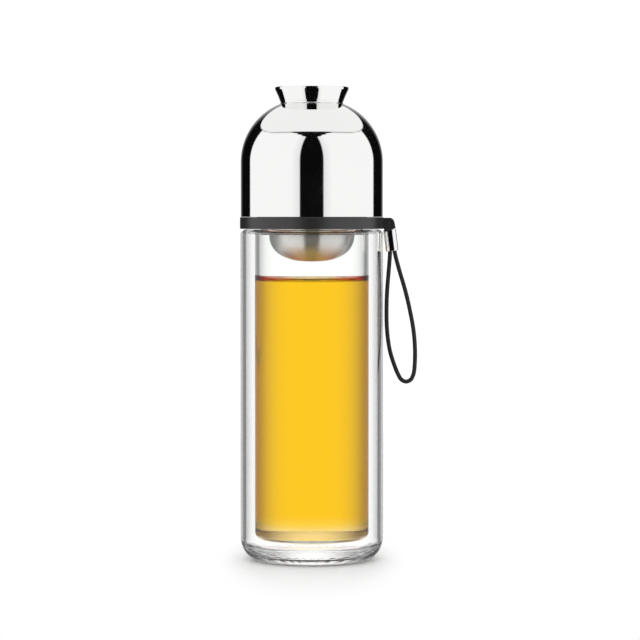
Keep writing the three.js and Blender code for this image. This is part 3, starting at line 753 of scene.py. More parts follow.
class Value:
    """An output of a node that other nodes are fed with; arithmetic on it adds Math nodes."""

    def __init__(self, tree, socket):
        self.tree = tree
        self.socket = socket

    def maths(self, operation, *others):
        """The result of a Math node on this value and other values or numbers."""
        inputs = dict(enumerate((self, *others)))
        return value_of(self.tree, "Math", "Value", inputs, operation=operation)

    def __add__(self, other):
        return self.maths("ADD", other)

    def __sub__(self, other):
        return self.maths("SUBTRACT", other)

    def __mul__(self, other):
        return self.maths("MULTIPLY", other)

    def __truediv__(self, other):
        return self.maths("DIVIDE", other)

    def __abs__(self):
        return self.maths("ABSOLUTE")

    def at_least(self, other):
        return self.maths("MAXIMUM", other)

    def at_most(self, other):
        return self.maths("MINIMUM", other)

    def mapped(self, start, end, low=0, high=1, kind="SMOOTHSTEP"):
        """A value that goes from low to high while this one goes from start to end."""
        inputs = {"Value": self, "From Min": start, "From Max": end, "To Min": low, "To Max": high}
        return value_of(self.tree, "MapRange", "Result", inputs, interpolation_type=kind)

    def spread(self, low, high):
        """This noise mask spread over a range of values."""
        return self.mapped(MASK_LOW, MASK_HIGH, low, high, "LINEAR")

    def between(self, first, second):
        """first + self * (second - first), where the second may be a number."""
        return first - self * (first - second)

    def colours(self, low, high):
        """A colour between two colours by this mask."""
        inputs = {"Factor": self, "A": low, "B": high}
        return value_of(self.tree, "Mix", "Result", inputs, data_type="RGBA")

    def bump(self, distance):
        """A normal that follows this mask, raised by a distance in metres."""
        return value_of(self.tree, "Bump", "Normal", {"Height": self, "Distance": distance})


def feed(node, inputs):
    """Sets a node's inputs, by name or number, each to another node's value or a plain number or colour."""
    for name, value in inputs.items():
        if isinstance(value, Value):
            value.tree.links.new(value.socket, node.inputs[name])
        else:
            node.inputs[name].default_value = value


def value_of(tree, kind, output, inputs=None, **settings):
    """An output of a new shader node with its settings and inputs."""
    node = tree.nodes.new("ShaderNode" + kind)
    for name, setting in settings.items():
        setattr(node, name, setting)
    feed(node, inputs or {})
    return Value(tree, node.outputs[output])


def split(vector):
    """The X, Y and Z of a vector."""
    first = value_of(vector.tree, "SeparateXYZ", "X", {"Vector": vector})
    return [Value(vector.tree, output) for output in first.socket.node.outputs]


def length_of(vector):
    """The length of a vector."""
    return value_of(vector.tree, "VectorMath", "Value", {0: vector}, operation="LENGTH")


def noise(place, scale, detail):
    """A noise texture read at a place."""
    inputs = {"Vector": place, "Scale": scale, "Detail": detail}
    return value_of(place.tree, "TexNoise", "Fac", inputs)


# Finishes

def new_group(name, inputs, outputs):
    """A shader node group with float inputs and outputs, its input values by name, and its output node."""
    group = bpy.data.node_groups.new(name, "ShaderNodeTree")
    for direction, sockets in (("INPUT", inputs), ("OUTPUT", outputs)):
        for socket in sockets:
            group.interface.new_socket(socket, in_out=direction, socket_type="NodeSocketFloat")
    source = group.nodes.new("NodeGroupInput")
    values = {socket: Value(group, source.outputs[socket]) for socket in inputs}
    return group, values, group.nodes.new("NodeGroupOutput")


def handling_marks():
    """Fine specks and broad smudges: two noises of different scale on Object coordinates."""
    name = "handling_marks"
    if name in bpy.data.node_groups:
        return bpy.data.node_groups[name]
    group, scales, masks = new_group(name, ["Speck Scale", "Smudge Scale"], ["Specks", "Smudges"])
    place = value_of(group, "TexCoord", "Object")
    feed(masks, {
        "Specks": noise(place, scales["Speck Scale"], SPECK_DETAIL),
        "Smudges": noise(place, scales["Smudge Scale"], SMUDGE_DETAIL),
    })
    return group


def turning_lines():
    """Fine lines that run round the axis: a noise read at (distance from the axis, height)."""
    name = "turning_lines"
    if name in bpy.data.node_groups:
        return bpy.data.node_groups[name]
    group, scales, masks = new_group(name, ["Line Scale"], ["Lines"])
    x, y, z = split(value_of(group, "TexCoord", "Object"))
    distance = length_of(value_of(group, "CombineXYZ", "Vector", {"X": x, "Y": y}))
    section = value_of(group, "CombineXYZ", "Vector", {"X": distance, "Y": z})
    feed(masks, {"Lines": noise(section, scales["Line Scale"], LINE_DETAIL)})
    return group


def masks_of(tree, group, scales):
    """The masks that a group puts out in a material, by name, for the material's own scales."""
    node = tree.nodes.new("ShaderNodeGroup")
    node.node_tree = group
    feed(node, scales)
    return {output.name: Value(tree, output) for output in node.outputs}


def new_finish(name):
    """A material with a Principled shader, or the material of that name and no shader if it is there."""
    name += "_finish"
    if name in bpy.data.materials:
        return bpy.data.materials[name], None, None
    material = bpy.data.materials.new(name)
    material.use_nodes = True
    tree = material.node_tree
    return material, tree, tree.nodes["Principled BSDF"]


def clear_glass(tint):
    """Clear blown glass: nearly no roughness, and a faint slow waviness."""
    material, tree, shader = new_finish("blown_glass")
    if shader:
        marks = masks_of(tree, handling_marks(), {"Speck Scale": 900, "Smudge Scale": 45})
        feed(shader, {
            **CLEAR,
            "Base Color": (*tint, 1),
            "IOR": GLASS_IOR,
            "Roughness": marks["Specks"].spread(0, GLASS_HAZE),
            "Normal": marks["Smudges"].bump(GLASS_RIPPLE),
        })
    return material


def tea_liquid(tea, floor):
    """Clear tea: a still surface and a body that takes the blue out of the light.

    The side's colour goes down to a share near the floor, a painted light for the paler tea there, and
    fades away at the surface; just under the surface it turns deeper, a painted shade for the dark band
    under the meniscus.
    """
    material, tree, shader = new_finish("tea")
    if shader:
        marks = masks_of(tree, handling_marks(), {"Speck Scale": 300, "Smudge Scale": 20})
        height = split(value_of(tree, "TexCoord", "Object"))[2]
        rim = tea.level + tea.rim_top
        # Painted light: towards the floor the side's colour fades to a share, so the tea looks lighter
        # there.
        painted_floor_light = height.mapped(floor, floor + tea.painted_floor_light_height, tea.painted_floor_light_share)
        on_floor = height.mapped(floor, floor + TINY / 2)
        under_top = height.mapped(rim, rim + TINY / 2, 1, 0)
        # Painted shade: just under the surface the side turns to the darker rim colour.
        painted_rim_shade_share = height.mapped(rim - tea.painted_rim_shade_depth, rim - tea.painted_rim_shade_depth / 2)
        side = painted_rim_shade_share.colours((*tea.colour, 1), (*tea.painted_rim_shade_colour, 1))
        depth = painted_floor_light * on_floor * under_top
        feed(shader, {
            **CLEAR,
            "Base Color": depth.colours(WHITE, side),
            "IOR": TEA_IOR,
            "Roughness": 0,
            "Normal": marks["Smudges"].bump(TEA_RIPPLE),
        })
        strength = {"Color": (*tea.body_colour, 1), "Density": tea.density}
        body = value_of(tree, "VolumeAbsorption", "Volume", strength)
        feed(tree.nodes["Material Output"], {"Volume": body})
    return material


def opaque(name, tint):
    """One of the opaque finishes, in a tint: its masks change its shade, its roughness and its surface."""
    material, tree, shader = new_finish(name)
    if shader:
        recipe = OPAQUE_FINISHES[name]
        masks = masks_of(tree, handling_marks(), recipe["marks"])
        if "lines" in recipe:
            masks.update(masks_of(tree, turning_lines(), recipe["lines"]))
        shade_mask, *shares = recipe["shade"]
        low, high = ((*(value * share for value in tint), 1) for share in shares)
        rough_mask, *roughness = recipe["roughness"]
        bump_mask, distance = recipe["bump"]
        feed(shader, {
            "Base Color": masks[shade_mask].colours(low, high),
            "Roughness": masks[rough_mask].spread(*roughness),
            "Normal": masks[bump_mask].bump(distance),
            **recipe["inputs"],
        })
        if "Anisotropic" in recipe["inputs"]:
            round_axis = value_of(tree, "Tangent", "Tangent", direction_type="RADIAL", axis="Z")
            feed(shader, {"Tangent": round_axis})
    return material


# Operators, one for each piece or group of like pieces

class BOTTLE_OT_stage(Operator):
    """Sets the camera, the floor and the studio round the bottle"""
    bl_idname = "infuser_bottle.stage"
    bl_label = "Camera, floor and studio"

    def execute(self, context):
        stage = context.scene.infuser_bottle.stage
        context.scene.view_settings.view_transform = "Standard"
        context.scene.cycles.max_bounces = BOUNCES
        context.scene.cycles.transmission_bounces = BOUNCES
        context.scene.cycles.glossy_bounces = BOUNCES
        self.add_camera(context, stage)
        self.add_floor(stage)
        self.add_studio(context, stage)
        return {"FINISHED"}

    def add_camera(self, context, stage):
        """The camera stands in front of the bottle at eye height and looks at the aim height."""
        data = bpy.data.cameras.new("camera")
        data.lens = stage.lens
        data.clip_start = NEAREST
        camera = bpy.data.objects.new("camera", data)
        camera.location = (stage.side, -stage.distance, stage.eye_height)
        aim = Vector((stage.side, 0, stage.aim_height)) - camera.location
        camera.rotation_euler = aim.to_track_quat("-Z", "Y").to_euler()
        context.scene.collection.objects.link(camera)
        context.scene.camera = camera

    def add_floor(self, stage):
        """A flat disc whose outer part is white to the camera, so that it meets the background unseen."""
        outline = FLOOR_OUTLINE * stage.floor_radius
        outline[:, 1] -= stage.floor_drop
        material, tree, shader = new_finish("floor")
        marks = masks_of(tree, handling_marks(), {"Speck Scale": 700, "Smudge Scale": 6})
        dull = (*(value * FLOOR_DULLING for value in stage.floor_colour), 1)
        feed(shader, {
            "Base Color": marks["Smudges"].colours(dull, (*stage.floor_colour, 1)),
            "Roughness": FLOOR_ROUGHNESS,
            "Specular IOR Level": 0,
        })
        place = value_of(tree, "TexCoord", "Object")
        shadow = {0: place, 1: (stage.shade_width, stage.shade_depth, 1)}
        distance = length_of(value_of(tree, "VectorMath", "Vector", shadow, operation="DIVIDE"))
        shown = {
            "Fac": distance.mapped(*SHADOW_FADE) * value_of(tree, "LightPath", "Is Camera Ray"),
            1: Value(tree, shader.outputs["BSDF"]),
            2: value_of(tree, "Emission", "Emission"),
        }
        feed(tree.nodes["Material Output"], {"Surface": value_of(tree, "MixShader", "Shader", shown)})
        floor = add_piece("floor", [turned(outline)], material)
        floor.visible_glossy = False
        floor.visible_transmission = False

    def add_studio(self, context, stage):
        """White panels with dark gaps for gloss, a white back for the glass, plain white for other light.

        Rays through the glass see a back that is darker towards the sides, unless they are steep. Rays
        mirrored inside the glass see the panels to the front and a darker back.
        """
        world = bpy.data.worlds.new("studio")
        world.use_nodes = True
        context.scene.world = world
        tree = world.node_tree
        x, y, z = split(value_of(tree, "TexCoord", "Generated"))
        ahead = y * -1
        azimuth = abs(x.maths("ARCTAN2", ahead))
        panels = self.panels(stage, (x, y, z), ahead, azimuth)
        back = stage.back_level
        sloping = (stage.edge_slope, stage.edge_slope + 2 * SOFT)
        behind = azimuth.mapped(stage.edge_start, stage.edge_end, stage.edge_level, back)
        before = azimuth.mapped(stage.front_start, stage.front_end, back, stage.edge_level)
        through = abs(z).mapped(*sloping).between(behind.at_least(before), back)
        level_way = azimuth.mapped(stage.mirror_start, stage.mirror_end, stage.mirror_level, back)
        mirrored = abs(z).mapped(*STEEP).between(level_way, back)
        bright = z.mapped(*sloping).between(panels * stage.inside_gain, back)
        fading = azimuth.mapped(stage.inside_start, stage.inside_end)
        inside = fading.between(bright, mirrored).at_least(stage.inside_level)
        glossy = value_of(tree, "LightPath", "Glossy Depth").at_most(1)
        refracted = value_of(tree, "LightPath", "Transmission Depth").at_most(1)
        diffuse = value_of(tree, "LightPath", "Diffuse Depth").at_most(1)
        plain = value_of(tree, "LightPath", "Is Camera Ray").at_least(diffuse)
        level = glossy.between(through, refracted.between(panels, inside)).at_least(plain)
        feed(tree.nodes["Background"], {"Color": level, "Strength": 1})

    def panels(self, stage, direction, ahead, azimuth):
        """What polished steel mirrors.

        In front is a dark strip, |x| / ahead < width - taper * t |t|, with t = z / ahead. Overhead is a
        light, an ellipse in (x / z, y / z), with a dark three-cornered gap before it. Behind the side
        panels are dark gaps.
        """
        x, y, z = direction
        near = ahead.at_least(TINY)
        climb = (z / near).at_least(LOWEST_CLIMB)
        beyond = abs(x) / near + climb * abs(climb) * stage.strip_taper - stage.strip_width
        strip = beyond.mapped(-SOFT, SOFT, 1, 0) * ahead.mapped(0, SOFT)
        above = z.mapped(0, SOFT)
        up = z.at_least(TINY)
        across = abs(x / up)
        back = y / up
        wide = across / stage.light_width
        deep = (back - stage.light_back) / stage.light_depth
        rim = wide * wide + deep * deep
        light = rim.mapped(1 - LIGHT_EDGE, 1 + LIGHT_EDGE, 1, 0) * above
        seam = abs(rim - 1).mapped(*SEAM_FADE, SEAM_DARKNESS, 0) * above
        edge = back + stage.gap_tip - across * stage.gap_slope
        gap = edge.mapped(-SOFT, SOFT) * back.mapped(-SOFT, SOFT, 1, 0) * above
        panel = beyond.mapped(0, PANEL_RISE, *PANEL_LEVELS)
        level = strip.at_least(gap).between(panel, BLACK)
        side = azimuth.mapped(stage.side_gap - SOFT, stage.side_gap + SOFT)
        level = side.between(level, azimuth.mapped(stage.side_fade, math.pi, BLACK, REAR_LEVEL))
        level = light.between(level, LIGHT_LEVEL)
        return level - seam * level


class BOTTLE_OT_strap(Operator):
    """Builds the cord, its ferrule, the pin and the swivel ring"""
    bl_idname = "infuser_bottle.strap"
    bl_label = "Strap"

    def execute(self, context):
        settings = context.scene.infuser_bottle
        strap = settings.strap
        steel = opaque("polished_steel", settings.lid.polish_colour)
        plastic = opaque("black_plastic", strap.plastic_colour)
        ferrule = self.add_ferrule(strap, steel)
        self.add_cord(strap, ferrule)
        self.add_pin(strap, plastic)
        self.add_ring(strap, plastic)
        return {"FINISHED"}

    def add_cord(self, strap, ferrule):
        """A round tube along the strap's smooth route, in the plane of the lug's middle."""
        flat = smooth_route(CORD_ROUTE)
        path = np.column_stack([PIN_PLACE.x + flat[:, 0], np.zeros(len(flat)), PIN_PLACE.z + flat[:, 1]])
        skin_of_cord = tube(path, strap.cord_diameter / 2)
        cord = add_piece("strap_cord", [skin_of_cord], opaque("black_cord", strap.cord_colour))

    def add_ferrule(self, strap, steel):
        """The barrel is an oval bar with a hollow mouth, joined to a flat tongue with the pin's hole."""
        top = -strap.ferrule_drop
        foot = top - strap.ferrule_length
        mouth = foot + strap.ferrule_mouth
        outside = strap.ferrule_depth / 2
        inside = outside - strap.ferrule_wall
        edge = strap.ferrule_edge
        lip = strap.ferrule_wall / 2
        outline = np.vstack([
            [[0, top], [inside / 2, top]],
            arc((outside - edge, top - edge), edge, QUARTER, 0, EDGE_STEPS),
            arc((outside - lip, foot + lip), lip, 0, -math.pi, 2 * EDGE_STEPS),
            [[inside, mouth], [inside / 2, mouth], [0, mouth]],
        ])
        barrel = oval_bar(refined(outline, False, None), strap.ferrule_width, strap.ferrule_depth)

        def tongue_reach(angle):
            down = np.maximum(-np.sin(angle), MARGIN)
            out = np.maximum(np.abs(np.cos(angle)), MARGIN)
            below = np.minimum(strap.tongue_radius / out, (strap.ferrule_drop + strap.ferrule_wall) / down)
            return np.where(np.sin(angle) < 0, below, strap.tongue_radius)

        half = strap.tongue_half
        tongue = eye_plate(strap, (0, 0, 0), tongue_reach, -half, half, PLATE_AROUND)
        hung = [(self.hang(strap, part[0]), part[1], part[2]) for part in (barrel, tongue)]
        ferrule = add_piece("strap_ferrule_barrel", hung[:1], steel)
        combine(ferrule, hung[1:], "UNION")
        return ferrule

    def hang(self, strap, points):
        """Turns points by the strap's tilt about the pin and moves them to it."""
        cos, sin = math.cos(strap.tilt), math.sin(strap.tilt)
        turned_x = points[:, 0] * cos - points[:, 2] * sin
        turned_z = points[:, 0] * sin + points[:, 2] * cos
        return np.column_stack([turned_x, points[:, 1], turned_z]) + np.array(PIN_PLACE)

    def add_pin(self, strap, plastic):
        """A turned rod with rounded ends, laid along Y: (x, y, z) goes to (x, z, -y)."""
        half = (PIN_HIGH.y - PIN_LOW.y) / 2
        edge = strap.pin_dome
        outline = np.vstack([
            [[0, -half]],
            arc((strap.pin_radius - edge, edge - half), edge, -QUARTER, 0, EDGE_STEPS),
            arc((strap.pin_radius - edge, half - edge), edge, 0, QUARTER, EDGE_STEPS),
            [[0, half]],
        ])
        points, quads, fans = lathe(outline, PIN_AROUND)
        laid = np.column_stack([points[:, 0], points[:, 2], -points[:, 1]]) + np.array(PIN_PLACE)
        add_piece("strap_pin_rod", [(laid, quads, fans)], plastic)

    def add_ring(self, strap, plastic):
        """The ring is turned, with a recess over the hub's lip; the lug is two ears with a slot."""
        low, high = RING_HIGH.z - strap.ring_height, RING_HIGH.z + strap.ring_rise
        step = RING_HIGH.z - strap.counterbore_depth
        edge = strap.ring_edge
        corners = [
            [strap.ring_bore, low], [strap.ring_radius, low], [strap.ring_radius, high],
            [strap.ring_counterbore, high], [strap.ring_counterbore, step], [strap.ring_bore, step],
        ]
        outline = rounded(corners, [edge / 2, edge, edge, edge / 2, edge / 4, edge / 4])
        ring = add_piece("strap_ring_moulding", [lathe(outline)], plastic)
        reach = reach_of(rounded(LUG_OUTLINE, strap.lug_round))
        near, far = strap.slot_half_width, strap.lug_half_width
        for side in ((-far, -near), (near, far)):
            combine(ring, [eye_plate(strap, PIN_PLACE, reach, *side, LUG_AROUND)], "UNION")


class BOTTLE_OT_glass(Operator):
    """Builds the fused double-wall glass"""
    bl_idname = "infuser_bottle.glass"
    bl_label = "Double-wall glass"

    def execute(self, context):
        glass = context.scene.infuser_bottle.glass
        surfaces = [lathe(self.skin_outline(glass)), self.hollow(glass)]
        add_piece("double_wall_glass", surfaces, clear_glass(glass.tint))
        return {"FINISHED"}

    def skin_outline(self, glass):
        """The glass that air or tea touches: foot, wall, shoulder, neck, rim, bore and inner floor."""
        radius, shoulder, rim = OUTER_HIGH.x, OUTER_HIGH.z, INNER_HIGH.z
        wide, tall = glass.foot_width, glass.foot_height
        neck = INNER_HIGH.x - glass.neck_step
        bore = neck - glass.neck_wall
        tube_bore = INNER_HIGH.x - glass.inner_wall
        floor = INNER_LOW.z + glass.inner_floor
        ceiling, fold = shoulder - glass.shoulder_thickness, glass.shoulder_fillet
        corner = glass.inner_corner - glass.inner_wall
        fillet, edge, curve = glass.neck_fillet, glass.rim_round, glass.shoulder_corner
        return np.vstack([
            [[0, OUTER_LOW.z]],
            arc((radius - wide, tall), (wide, tall), -QUARTER, 0),
            arc((radius - curve, shoulder - curve), curve, 0, QUARTER),
            arc((neck + fillet, shoulder + fillet), fillet, -QUARTER, -math.pi, EDGE_STEPS),
            arc((neck - edge, rim - edge), edge, 0, QUARTER, EDGE_STEPS),
            arc((bore + edge, rim - edge), edge, QUARTER, math.pi, EDGE_STEPS),
            arc((bore + edge, ceiling + edge), edge, math.pi, 3 * QUARTER, EDGE_STEPS),
            arc((tube_bore - fold, ceiling - fold), fold, QUARTER, 0),
            arc((tube_bore - corner, floor + corner), corner, 0, -QUARTER),
            [[0, floor]],
        ])

    def hollow(self, glass):
        """The closed air space between the two walls, with its faces turned to the air.

        Its floor has soft waves, z + height * near * (r / inside)^2 * sin(n a + 2 sin 3a), where near goes
        from 1 on the floor to 0 at the top of the fillet.
        """
        inside = OUTER_HIGH.x - glass.outer_wall
        plate = OUTER_HIGH.z - glass.shoulder_thickness
        base, fillet, top = glass.base_thickness, glass.base_fillet, glass.shoulder_fillet
        corner, weld = glass.inner_corner, glass.weld_round
        outline = np.vstack([
            [[0, base]],
            arc((inside - fillet, base + fillet), fillet, -QUARTER, 0),
            arc((inside - top, plate - top), top, 0, QUARTER),
            arc((INNER_HIGH.x + weld, plate - weld), weld, QUARTER, math.pi, EDGE_STEPS),
            arc((INNER_HIGH.x - corner, INNER_LOW.z + corner), corner, 0, -QUARTER),
            [[0, INNER_LOW.z]],
        ])
        points, quads, fans = lathe(outline)
        angle = np.arctan2(points[:, 1], points[:, 0])
        share = np.hypot(points[:, 0], points[:, 1]) / inside
        near = np.clip(1 - (points[:, 2] - base) / fillet, 0, 1)
        bend = WAVE_BEND * np.sin(WAVE_BEND_COUNT * angle)
        wave = np.sin(glass.wave_count * angle + bend)
        points[:, 2] += glass.wave_height * near * share**2 * wave
        return points, quads[:, ::-1], fans[:, ::-1]


class BOTTLE_OT_tea(Operator):
    """Fills the inner glass with tea up to its level"""
    bl_idname = "infuser_bottle.tea"
    bl_label = "Tea"

    def execute(self, context):
        """The surface climbs the glass: level + climb * exp(-distance from the glass / width)."""
        settings = context.scene.infuser_bottle
        glass, tea = settings.glass, settings.tea
        wall = INNER_HIGH.x - glass.inner_wall + tea.bite
        floor = INNER_LOW.z + glass.inner_floor - tea.bite
        corner = glass.inner_corner - glass.inner_wall + tea.bite
        inwards = np.geomspace(MENISCUS_START * tea.climb_width, wall, MENISCUS_STEPS)
        climb = tea.climb * np.exp(-inwards / tea.climb_width)
        outline = np.vstack([
            [[0, floor]],
            arc((wall - corner, floor + corner), corner, -QUARTER, 0),
            [[wall, tea.level + tea.climb]],
            np.column_stack([wall - inwards, tea.level + climb]),
        ])
        add_piece("tea", [lathe(outline)], tea_liquid(tea, floor))
        return {"FINISHED"}


class BOTTLE_OT_lid(Operator):
    """Builds the lid's two steel shells, its foot, the threaded insert and the seal"""
    bl_idname = "infuser_bottle.lid"
    bl_label = "Lid"

    def execute(self, context):
        settings = context.scene.infuser_bottle
        lid = settings.lid
        steel = opaque("polished_steel", lid.polish_colour)
        satin = opaque("satin_steel", settings.infuser.satin_colour)
        plastic = opaque("black_plastic", settings.strap.plastic_colour)
        self.add_shells(lid, steel, satin)
        self.add_foot(lid, steel)
        self.add_insert(lid, plastic)
        self.add_seal(lid)
        return {"FINISHED"}

    def add_shells(self, lid, steel, satin):
        """Each shell is a straight wall and a dome arc, inside and out; the outer one turns in to a lip."""
        centre = (LID_HIGH.x - lid.dome_radius, LID_LOW.z + lid.wall_height)
        wall, edge = lid.shell_wall, lid.shell_edge
        lip_top = LID_LOW.z + lid.lip_height
        lip_end = LINING_HIGH.x + lid.lip_gap
        outer, inner = lid.dome_radius, lid.dome_radius - wall
        outline = np.vstack([
            [[0, centre[1] + outer]],
            arc(centre, outer, QUARTER, 0, 4 * ARC_STEPS),
            arc((LID_HIGH.x - edge, LID_LOW.z + edge), edge, 0, -QUARTER, EDGE_STEPS),
            arc((lip_end + edge, LID_LOW.z + edge), edge, -QUARTER, -math.pi, EDGE_STEPS),
            [[lip_end, lip_top], [LID_HIGH.x - wall, lip_top]],
            arc(centre, inner, 0, QUARTER, 2 * ARC_STEPS),
            [[0, centre[1] + inner]],
        ])
        add_piece("lid_dome", [lathe(outline, 2 * AROUND)], steel)
        outer = lid.dome_radius - (LID_HIGH.x - LINING_HIGH.x)
        inner = outer - wall
        edge = wall / 2
        outline = np.vstack([
            [[0, centre[1] + outer]],
            arc(centre, outer, QUARTER, 0, 2 * ARC_STEPS),
            arc((LINING_HIGH.x - edge, LINING_LOW.z + edge), edge, 0, -math.pi),
            arc(centre, inner, 0, QUARTER, 2 * ARC_STEPS),
            [[0, centre[1] + inner]],
        ])
        add_piece("lid_cup_lining", [lathe(outline)], satin)

    def add_foot(self, lid, steel):
        """The foot flares from waist to rim: radius = waist + (rim - waist) * u - bow * sin(pi u)."""
        rim, top = FOOT_HIGH.x, FOOT_HIGH.z
        out = lid.foot_waist - (LID_HIGH.x - lid.dome_radius)
        seat = LID_LOW.z + lid.wall_height + math.sqrt(lid.dome_radius ** 2 - out ** 2)
        u = np.linspace(0, 1, FLARE_STEPS + 1)
        flare = lid.foot_waist + (rim - lid.foot_waist) * u - lid.foot_bow * np.sin(math.pi * u)
        low = seat + lid.weld_bead
        height = low + (top - lid.foot_rim - low) * u
        edge, bead, wall = lid.foot_edge, lid.weld_bead, lid.foot_wall
        outline = np.vstack([
            [[lid.foot_waist - wall - bead, seat], [lid.foot_waist + bead, seat - bead / 2]],
            arc((lid.foot_waist + bead, low), bead, BEAD_START, -math.pi, EDGE_STEPS),
            np.column_stack([flare, height])[1:],
            arc((rim - edge, top - edge), edge, 0, QUARTER, EDGE_STEPS),
            arc((rim - wall + edge, top - edge), edge, QUARTER, math.pi, EDGE_STEPS),
            np.column_stack([flare - wall, height])[::-1][:-1],
            arc((lid.foot_waist - wall - bead, low), bead, 0, -QUARTER, EDGE_STEPS),
        ])
        add_piece("lid_foot", [lathe(outline, 2 * AROUND)], steel)

    def add_insert(self, lid, plastic):
        """A ring with a shelf over the seal and a thread inside, which lies under the collar's thread."""
        low, high = INSERT_LOW.z, INSERT_HIGH.z
        shelf = high - lid.shelf_thickness
        outline = rounded([
            [lid.insert_bore, low], [INSERT_HIGH.x, low], [INSERT_HIGH.x, high], [lid.shelf_bore, high],
            [lid.shelf_bore, shelf], [lid.insert_bore, shelf],
        ], lid.moulded_edge)
        thread = ridges(lid, low, low, SEAL_LOW.z, lid.insert_bore, -lid.thread_depth)
        add_piece("lid_insert", [lathe(outline, AROUND, thread, lid.insert_bore)], plastic)

    def add_seal(self, lid):
        """A flat turned ring with rounded edges."""
        bore, radius, low, high = lid.seal_bore, SEAL_HIGH.x, SEAL_LOW.z, SEAL_HIGH.z
        outline = rounded([[bore, low], [radius, low], [radius, high], [bore, high]], lid.moulded_edge)
        add_piece("lid_seal_ring", [lathe(outline)], opaque("silicone", lid.silicone_colour))


class BOTTLE_OT_collar(Operator):
    """Builds the threaded collar round the neck"""
    bl_idname = "infuser_bottle.collar"
    bl_label = "Thread collar"

    def execute(self, context):
        """The outline is a hub with a lip, and above it a thinner wall that carries the thread."""
        settings = context.scene.infuser_bottle
        lid = settings.lid
        low, high = COLLAR_LOW.z, COLLAR_HIGH.z
        hub_top = low + lid.hub_height
        lip_foot = hub_top - lid.hub_lip_height
        edge = lid.moulded_edge
        top_edge = 2 * edge
        bore, wall, lip = lid.collar_bore, lid.collar_radius, COLLAR_HIGH.x
        outline = rounded([
            [bore, low], [lid.hub_radius, low], [lid.hub_radius, lip_foot], [lip, lip_foot],
            [lip, hub_top], [wall, hub_top], [wall, high], [bore, high],
        ], [edge, edge, edge, edge, edge, edge, top_edge, edge])
        base = INSERT_LOW.z + (lid.ridge_root + lid.ridge_crest) / 2 + lid.thread_play
        thread = ridges(lid, base, hub_top, high - top_edge - edge / 2, wall, lid.thread_depth)
        plastic = opaque("black_plastic", settings.strap.plastic_colour)
        add_piece("neck_collar", [lathe(outline, AROUND, thread, wall)], plastic)
        return {"FINISHED"}


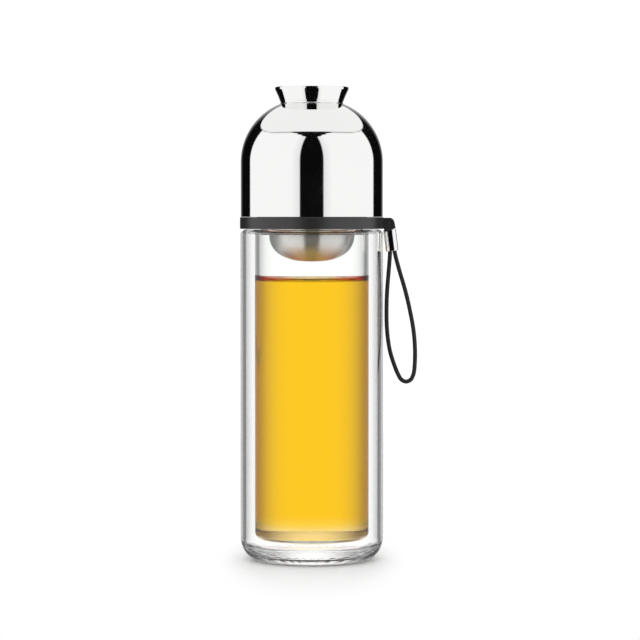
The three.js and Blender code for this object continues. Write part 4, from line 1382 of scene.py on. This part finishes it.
class BOTTLE_OT_infuser(Operator):
    """Builds the perforated infuser basket and its gasket"""
    bl_idname = "infuser_bottle.infuser"
    bl_label = "Infuser"

    def execute(self, context):
        settings = context.scene.infuser_bottle
        infuser = settings.infuser
        self.add_basket(infuser)
        rubber = opaque("silicone", settings.lid.silicone_colour)
        self.add_gasket(infuser, rubber, settings.lid.moulded_edge)
        return {"FINISHED"}

    def add_basket(self, infuser):
        """A rounded bowl under a straight wall and a flange, with rings of holes round the middle."""
        low, high = BASKET_LOW.z, BASKET_HIGH.z
        radius, wall, depth = infuser.radius, infuser.wall, infuser.bowl_depth
        brim = low + depth
        flange = high - infuser.flange_thickness
        fillet = infuser.flange_fillet
        edge = infuser.flange_thickness / 2
        outline = np.vstack([
            [[0, low]],
            bowl_curve(brim, radius, depth, infuser.fullness),
            arc((radius + fillet, flange - fillet), fillet, math.pi, QUARTER, EDGE_STEPS),
            arc((BASKET_HIGH.x - edge, high - edge), edge, -QUARTER, QUARTER, 2 * EDGE_STEPS),
            arc((radius - wall + fillet, high - fillet), fillet, QUARTER, math.pi, EDGE_STEPS),
            bowl_curve(brim, radius - wall, depth - wall, infuser.fullness)[::-1],
            [[0, low + wall]],
        ])
        satin = opaque("satin_steel", infuser.satin_colour)
        basket = add_piece("infuser_bowl", [lathe(outline)], satin)
        combine(basket, self.drills(infuser, low), "DIFFERENCE")

    def drills(self, infuser, low):
        """Upright round bars at the holes: one in the middle, and k * FIRST_RING_HOLES in ring k."""
        rings = np.arange(infuser.hole_rings + 1)
        holes = np.maximum(FIRST_RING_HOLES * rings, 1)
        ring = np.repeat(rings, holes)
        first = (np.cumsum(holes) - holes)[ring]
        angle = 2 * math.pi * (np.arange(len(ring)) - first) / holes[ring]
        places = np.column_stack([np.cos(angle), np.sin(angle)]) * (ring * infuser.hole_pitch)[:, None]
        radius = infuser.hole_radius
        top = infuser.bowl_depth / 2
        bar = turned(np.array([[0, -top], [radius, -top], [radius, top], [0, top]]), infuser.hole_sides)
        return [(bar[0] + np.array([x, y, low]), bar[1], bar[2]) for x, y in places]

    def add_gasket(self, infuser, rubber, edge):
        """A turned ring whose plug goes down into the neck under its wider rim."""
        low, high = GASKET_LOW.z, GASKET_HIGH.z
        bore, plug, radius = infuser.gasket_bore, infuser.gasket_plug, GASKET_HIGH.x
        rim = high - infuser.gasket_thickness
        outline = rounded([
            [bore, low], [plug, low], [plug, rim], [radius, rim], [radius, high], [bore, high],
        ], [edge, edge, edge / 2, edge, edge, edge])
        add_piece("infuser_gasket_ring", [lathe(outline)], rubber)


PIECE_OPERATORS = (
    BOTTLE_OT_stage, BOTTLE_OT_strap, BOTTLE_OT_glass, BOTTLE_OT_tea, BOTTLE_OT_lid, BOTTLE_OT_collar,
    BOTTLE_OT_infuser,
)


class BOTTLE_PT_sidebar(Panel):
    """Lists the bottle's operators"""
    bl_idname = "BOTTLE_PT_sidebar"
    bl_label = "Tea infuser bottle"
    bl_space_type = "VIEW_3D"
    bl_region_type = "UI"
    bl_category = "Bottle"

    def draw(self, context):
        for operator in PIECE_OPERATORS:
            self.layout.operator(operator.bl_idname)


CLASSES = (
    GlassSettings, TeaSettings, StrapSettings, LidSettings, InfuserSettings, StageSettings, BottleSettings,
    *PIECE_OPERATORS, BOTTLE_PT_sidebar,
)


def register():
    for item in CLASSES:
        bpy.utils.register_class(item)
    bpy.types.Scene.infuser_bottle = PointerProperty(type=BottleSettings)


def unregister():
    del bpy.types.Scene.infuser_bottle
    for item in reversed(CLASSES):
        bpy.utils.unregister_class(item)


def main():
    """Builds every piece."""
    register()
    bpy.ops.infuser_bottle.stage()
    bpy.ops.infuser_bottle.strap()
    bpy.ops.infuser_bottle.glass()
    bpy.ops.infuser_bottle.tea()
    bpy.ops.infuser_bottle.lid()
    bpy.ops.infuser_bottle.collar()
    bpy.ops.infuser_bottle.infuser()


if __name__ == "__main__":
    main()
